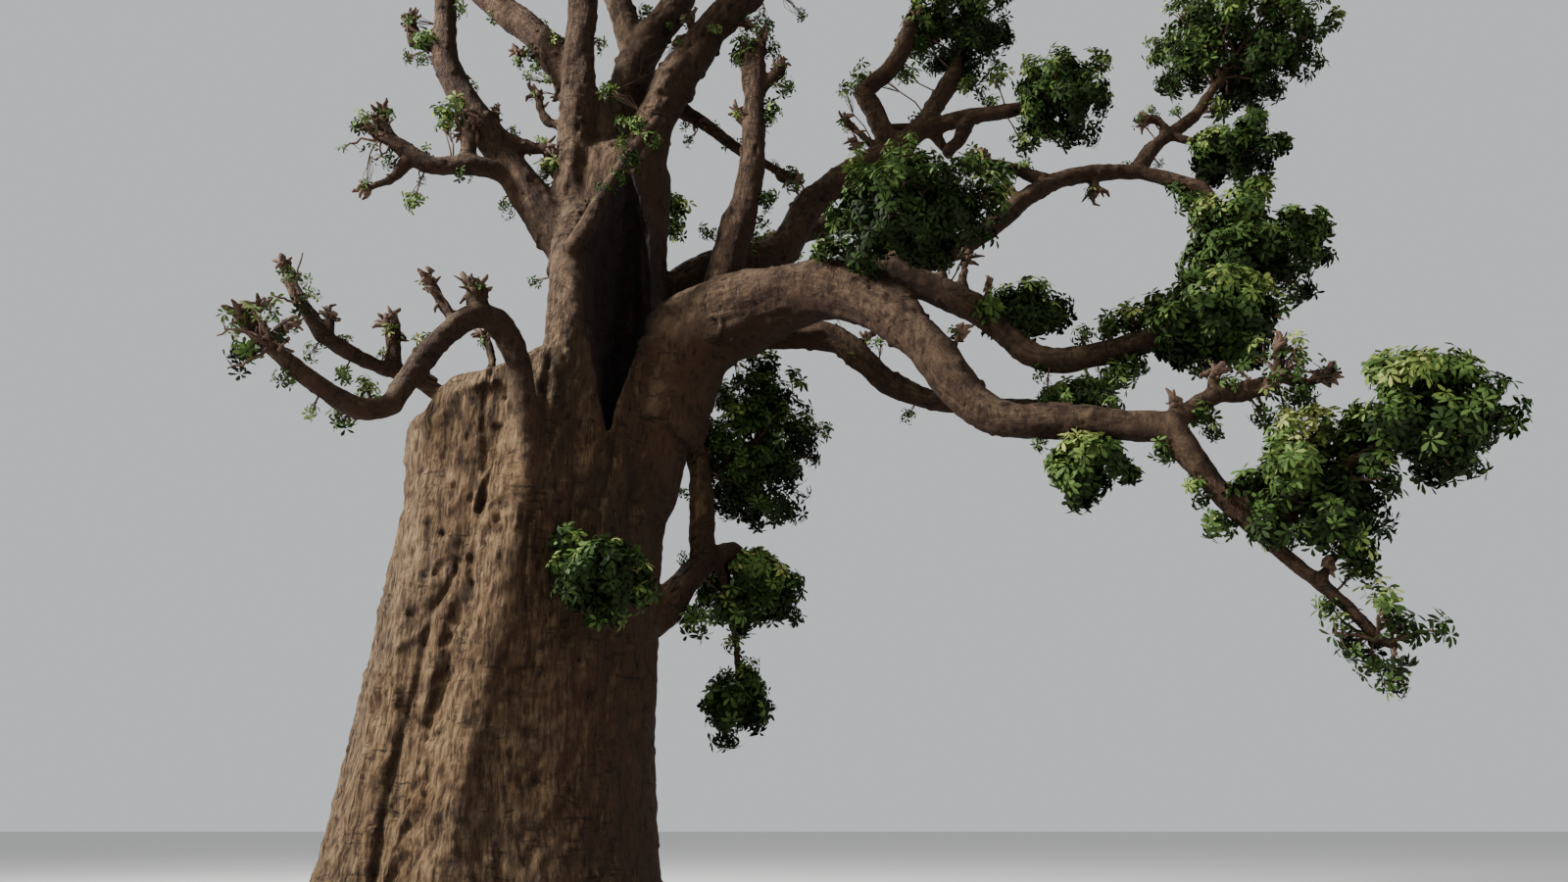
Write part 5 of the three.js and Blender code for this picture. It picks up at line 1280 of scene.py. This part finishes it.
def twigs_piece(name, lines):
    """One mesh of thin closed tubes, in the twigs' bark."""
    piece = piece_of(name, *joined([thin_tube(*line) for line in lines]))
    piece.data.shade_smooth()
    piece.data.materials.append(TWIG_BARK)
    return piece


def grown_crowns():
    """The leaves of every mass, and the twigs that carry them."""
    twigs = {region: [] for region in TWIG_REGIONS}
    for seed, (name, mass) in enumerate(MASSES.items()):
        random = np.random.default_rng(MASS_SEED + seed)
        sparse = SPARSE_MASSES.get(name, 0)
        lines, spots, ways = crown(mass, sparse, random)
        region = next(region for region, names in TWIG_REGIONS.items() if name in names)
        twigs[region] += lines
        shades = shades_of(spots, ways, mass, SHADED_MASSES.get(name, 0), random)
        sizes = random.uniform(0.82, 1.12, len(spots)) * LEAF_SIZES.get(name, 0.75 if sparse else 1)
        piece = leaves_piece(name + "_foliage", spots, ways, sizes, shades, random)
        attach(piece, "root")
        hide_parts("leaves_" + name)
    for region, lines in twigs.items():
        piece = twigs_piece(region + "_twigs", lines)
        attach(piece, "root")
        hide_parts(*["leaves_" + name for name in TWIG_REGIONS[region]])


def spurs_of(stub, random):
    """The knobs and short pointed spurs on a cut-back limb's head."""
    limb = stub_limb(stub)
    tip, count = limb["tip"], stub[3] * SPURS_EACH
    line = along(limb["way"], SPUR_STEP)
    end, ahead = line[-1], unit(line[-1] - line[-2])
    lines = []
    for number in range(count):
        if number % 3 == 2:
            root = line[random.integers(len(line) // 2, len(line))]
        else:
            root = end + random.normal(0, 0.4, 3) * tip
        aim = unit(ahead * random.uniform(0.2, 1.2) + any_way(random))
        length = tip + random.uniform(*SPUR_LENGTHS)
        spur = bowed(root, root + aim * length, 0.14, random, 3)
        lines.append((spur, SPUR_SHAPE * random.uniform(*SPUR_WIDTHS), 6))
    return lines


def grow_tuft(side, root, middle, size, count, random):
    """Twigs and leaves of one tuft that shoots from a limb, added to those of its side."""
    lines, spots, ways, sizes = side
    lead = bowed(root, middle, 0.08, random, 4)
    lines.append((lead, np.linspace(*TUFT_STEM_RADII, len(lead)), 5))
    for _ in range(count):
        spot = middle + any_way(random) * size * random.uniform(0.35, 1)
        start = lead[random.integers(2, 5)]
        lines.append((bowed(start, spot, 0.1, random, 2), TUFT_TWIG_RADII, 3))
        aim = unit(unit(spot - start + (0, 0, 1e-6)) * 0.7 + any_way(random) * 0.6 + (0, 0, 0.2))
        spots.append(spot + aim * 0.05)
        ways.append(aim)
    sizes.extend(np.clip(size / TUFT_LARGE, TUFT_LEAF_LEAST, 1) * random.uniform(0.85, 1.15, count))


def line_of(name):
    """The line that tufts grow along."""
    limb = LIMBS[name] if name in LIMBS else mass_stem(MASSES[name.replace("leaves_", "")])
    return along(limb["way"], TUFT_STEP)


def grown_sprouts():
    """The spurs on the cut-back limbs and the tufts of leaves along all limbs."""
    random = np.random.default_rng(SPROUT_SEED)
    lines = [line for stub in STUBS for line in spurs_of(stub, random)]
    sides = {side: ([], [], [], []) for side in ("left", "right", "back")}
    for name, rows in TUFTS.items():
        limb = line_of(name)
        side = sides["left" if "left" in name else "right"]
        for share, across, up, size, count, *back in rows:
            root = limb[round(share * (len(limb) - 1))]
            middle = root + (across, sum(back), up)
            grow_tuft(side, root, middle, size, round(count * TUFT_FULLNESS), random)
    for name, count in BACK_TUFTS.items():
        limb = line_of(name)
        for _ in range(count):
            root = limb[int(random.uniform(0.25, 0.98) * (len(limb) - 1))]
            aim = unit(random.normal(0, 1, 3) + (0, 0, 0.4))
            middle = root + aim * (LIMBS[name]["tip"] + random.uniform(0.1, 0.3))
            size = random.uniform(0.07, 0.15)
            grow_tuft(sides["back"], root, middle, size, int(random.integers(4, 10)), random)
    for side, (twigs, spots, ways, sizes) in sides.items():
        spots, ways = np.array(spots), np.array(ways)
        # painted light: leaves that face up are dealt lighter greens, and each side its own lightness
        light = SPROUT_LIGHT[side] + 0.3 * ways[:, 2] + random.normal(0, 0.22, len(spots))
        shades = np.digitize(light, SHADE_STEPS)
        piece = leaves_piece(side + "_sprouts_foliage", spots, ways, np.array(sizes), shades, random)
        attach(piece, "root")
        lines += twigs
    piece = twigs_piece("sprouts_twigs", lines)
    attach(piece, "root")


def dressed_wood():
    """The trunk and limbs in bark, in pieces of their own."""
    spots, faces, owner, names, marks = sculpted_wood()
    ways = smooth_ways(spots, faces)
    # painted light: how much each corner faces the key light
    marks["lit"] = smooth_step(ways @ np.array(LIGHT_WAY), *LIGHT_FADE)
    part = unpinched(faces, settled(faces, owner, len(names)))
    height = spots[faces[:, 0], 2]
    for number, name in enumerate(names):
        mine = part == number
        stretches = TRUNK_STRETCHES if name == "trunk" else {name + "_bark": (-FAR, math.inf)}
        for label, (low, high) in stretches.items():
            chosen = mine & (height >= low) & (height < high)
            piece = cut_piece(label, chosen, (spots, faces, marks), ways)
            piece.data.materials.append(BARK)
            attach(piece, "root")
            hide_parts(name)


# the colour of the highlights painted on the bark's lit side
BARK_LIT = colour(0.42, 0.285, 0.155)
BARK_PALE = colour(0.175, 0.108, 0.053)
BARK_WARM = colour(0.1, 0.051, 0.021)
BARK_GREY = colour(0.085, 0.06, 0.037)
BARK_LIMB = colour(0.031, 0.015, 0.0095)
BARK_LIMB_PALE = colour(0.066, 0.038, 0.022)
# the colour of the highlights painted on the limbs' lit side
BARK_GREY_LIT = colour(0.12, 0.084, 0.054)
# dark bark, for its own blotches, streaks and grit and for the shade painted between lumps and fibres
BARK_DARK_TONE_AND_SHADE = colour(0.024, 0.013, 0.008)
# the colour of the shade painted on the side away from the key light
BARK_SHADED_SIDE = colour(0.03, 0.0135, 0.0075)
# the colour of the shade painted into folds, pits, cuts and slits
BARK_RECESS_SHADE = colour(0.011, 0.007, 0.005)
# the colour of the shade painted deep in the hollow
HOLLOW_SHADE = colour(0.024, 0.017, 0.016)
TWIG_DARK = colour(0.03, 0.016, 0.011)
TWIG_PALE = colour(0.085, 0.052, 0.034)
# greens from dark to light, dealt to the leaves partly as painted light and shade by where they sit and
# partly at random
LEAF_SHADES = {
    "leaf shadow green": colour(0.007, 0.012, 0.003),
    "leaf dark green": colour(0.014, 0.027, 0.006),
    "leaf green": colour(0.029, 0.053, 0.012),
    "leaf mid green": colour(0.055, 0.092, 0.022),
    "leaf light green": colour(0.115, 0.155, 0.038),
    "leaf yellow green": colour(0.23, 0.25, 0.075),
}
SHADE_STEPS = [0.2, 0.4, 0.58, 0.78, 1.0]
# the way to the key light, by which light and shade are painted on the bark
LIGHT_WAY = (-0.65, -0.3, 0.7)
LIGHT_FADE = (-0.3, 0.8)  # from shade to light
MASS_SEED, SPROUT_SEED, LEAF_SEED = 100, 400, 7
BARK_ROUGH, TWIG_ROUGH, LEAF_ROUGH, FLOOR_ROUGH = 0.85, 0.8, 0.6, 0.9
GLOSS, LEAF_GLOSS = 0.12, 0.06
STEM_STEP = 0.1
BARE_SHARE = 0.3  # how much of a branch has no twigs
STEM_THICK = 0.024
TWIG_THICK = 0.009
TWIG_END = 0.004
TWIG_LENGTHS = (0.2, 0.36)  # of the mass's mean reach
TWIGS_FULL = 9
LOBE_MEAN, LOBE_UNEVEN, LOBE_MOST = 0.7, 0.26, 0.88  # how far out the branches end, of the mass's reach
BRANCH_SLANT = 0.35  # how far down the stem a branch starts, of its length
LEAVES_FULL = (5, 8)
LEAVES_SPARSE = (1, 4)
LEAF_KINDS = 14
LEAF_SIZES = {
    "outer_high": 0.85, "outer_low": 0.82, "droop_tip": 0.85, "near_clump": 0.9, "trunk_front": 0.9,
}
SPURS_EACH = 4
SPUR_STEP = 0.04
SPUR_LENGTHS = (0.03, 0.15)
SPUR_WIDTHS = (0.018, 0.036)
SPUR_SHAPE = np.array([1.5, 1.1, 0.95, 0.4])
TUFT_FULLNESS = 1.5
TUFT_LARGE = 0.17  # a tuft of this size or more has leaves of full size
TUFT_LEAF_LEAST = 0.55
TUFT_STEM_RADII = (0.014, 0.008)
TUFT_STEP = 0.05
TUFT_TWIG_RADII = np.array([0.006, 0.005, 0.004])
# painted light: how light each side's tuft leaves are dealt, lightest on the left towards the key light
SPROUT_LIGHT = {"left": 0.6, "right": 0.45, "back": 0.5}
SPARSE_MASSES = {  # how many twigs each of their branches has
    "side_spray": 3, "post": 3, "droop_tip": 4, "left_side": 2, "left_front": 1, "left_shoulder": 1,
}
BACK_TUFTS = {
    "back_low_bough": 9, "back_high_bough": 9, "back_right_bough": 10, "right_back_bough": 6,
    "right_back_limb": 4, "left_crown_bough": 8, "right_stem_fork": 6, "right_stem": 7, "left_stem": 5,
    "right_crown_bough": 6, "right_top_bough": 5, "right_low_bough": 3,
}
# painted shade: how much darker the leaves of these masses are dealt
SHADED_MASSES = {
    "trunk_front": 0.25, "lower_high": 0.18, "lower_hanging": 0.15, "lower_right": 0.1, "near_clump": 0.08,
}
TRUNK_STRETCHES = {
    "trunk_foot_bark": (-1, 2.5), "trunk_waist_bark": (2.5, 5.2), "trunk_head_bark": (5.2, 99),
}
TWIG_REGIONS = {
    "near": ["near_clump", "side_spray", "outer_high", "outer_low", "droop_tip", "under_bend",
             "second_bough", "back_bough", "far_lower"],
    "far": ["top_spray", "top_side", "far_top", "far_upper", "far_middle", "post"],
    "low": ["lower_high", "lower_hanging", "lower_right", "trunk_front", "left_side", "left_front",
            "left_shoulder"],
    "high": ["right_crown", "right_stem", "left_fork", "left_stem", "left_crown", "left_top"],
    "back": ["back_low", "back_high", "back_right"],
}
BARK = bark_material()
TWIG_BARK = twig_material()
LEAF_MATERIALS = [leaf_material(name, shade) for name, shade in LEAF_SHADES.items()]
leaf_random = np.random.default_rng(LEAF_SEED)
HAND_LEAVES = [hand_leaf(leaf_random) for _ in range(LEAF_KINDS)]
dressed_wood()
grown_crowns()
grown_sprouts()

# The stage.
FLOOR_SIZE = 400
FLOOR_COLOUR = colour(0.62, 0.62, 0.6)
SKY_COLOUR = colour(0.86, 0.88, 0.9)
SKY_STRENGTH = 0.7
LAMPS = [  # its place, what it points at, its size and its power
    ("key", (-18, -7, 20), (1, 0, 7), 4, 26000),
    ("fill", (18, -16, 8), (2, 0, 6), 6, 1600),
    ("rim", (-6, 16, 22), (2, 0, 9), 10, 3500),
]
CAMERA_SPOT = (3.4, -14.3, 1.6)
CAMERA_LOOKS_UP = 18.6
CAMERA_LENS = 26.01
CAMERA_FILM = 36
bpy.ops.mesh.primitive_plane_add(size=FLOOR_SIZE)
floor = bpy.context.object
floor.name = "floor"
pale, pale_shader = new_material("pale floor", FLOOR_ROUGH)
pale_shader.inputs["Base Color"].default_value = FLOOR_COLOUR
floor.data.materials.append(pale)

world = bpy.data.worlds.new("studio")
world.use_nodes = True
world.node_tree.nodes["Background"].inputs[0].default_value = SKY_COLOUR
world.node_tree.nodes["Background"].inputs[1].default_value = SKY_STRENGTH
bpy.context.scene.world = world
for name, spot, aim, size, power in LAMPS:
    lamp = bpy.data.lights.new(name, "AREA")
    lamp.size, lamp.energy = size, power
    holder = bpy.data.objects.new(name, lamp)
    holder.location = spot
    way = np.array(aim, float) - spot
    tilt = math.acos(-way[2] / np.linalg.norm(way))
    holder.rotation_euler = (tilt, 0, math.atan2(way[1], way[0]) - math.pi / 2)
    bpy.context.scene.collection.objects.link(holder)

lens = bpy.data.cameras.new("camera")
lens.lens = CAMERA_LENS
lens.sensor_width = CAMERA_FILM
camera = bpy.data.objects.new("camera", lens)
camera.location = CAMERA_SPOT
camera.rotation_euler = (math.radians(90 + CAMERA_LOOKS_UP), 0, 0)
bpy.context.scene.collection.objects.link(camera)
bpy.context.scene.camera = camera
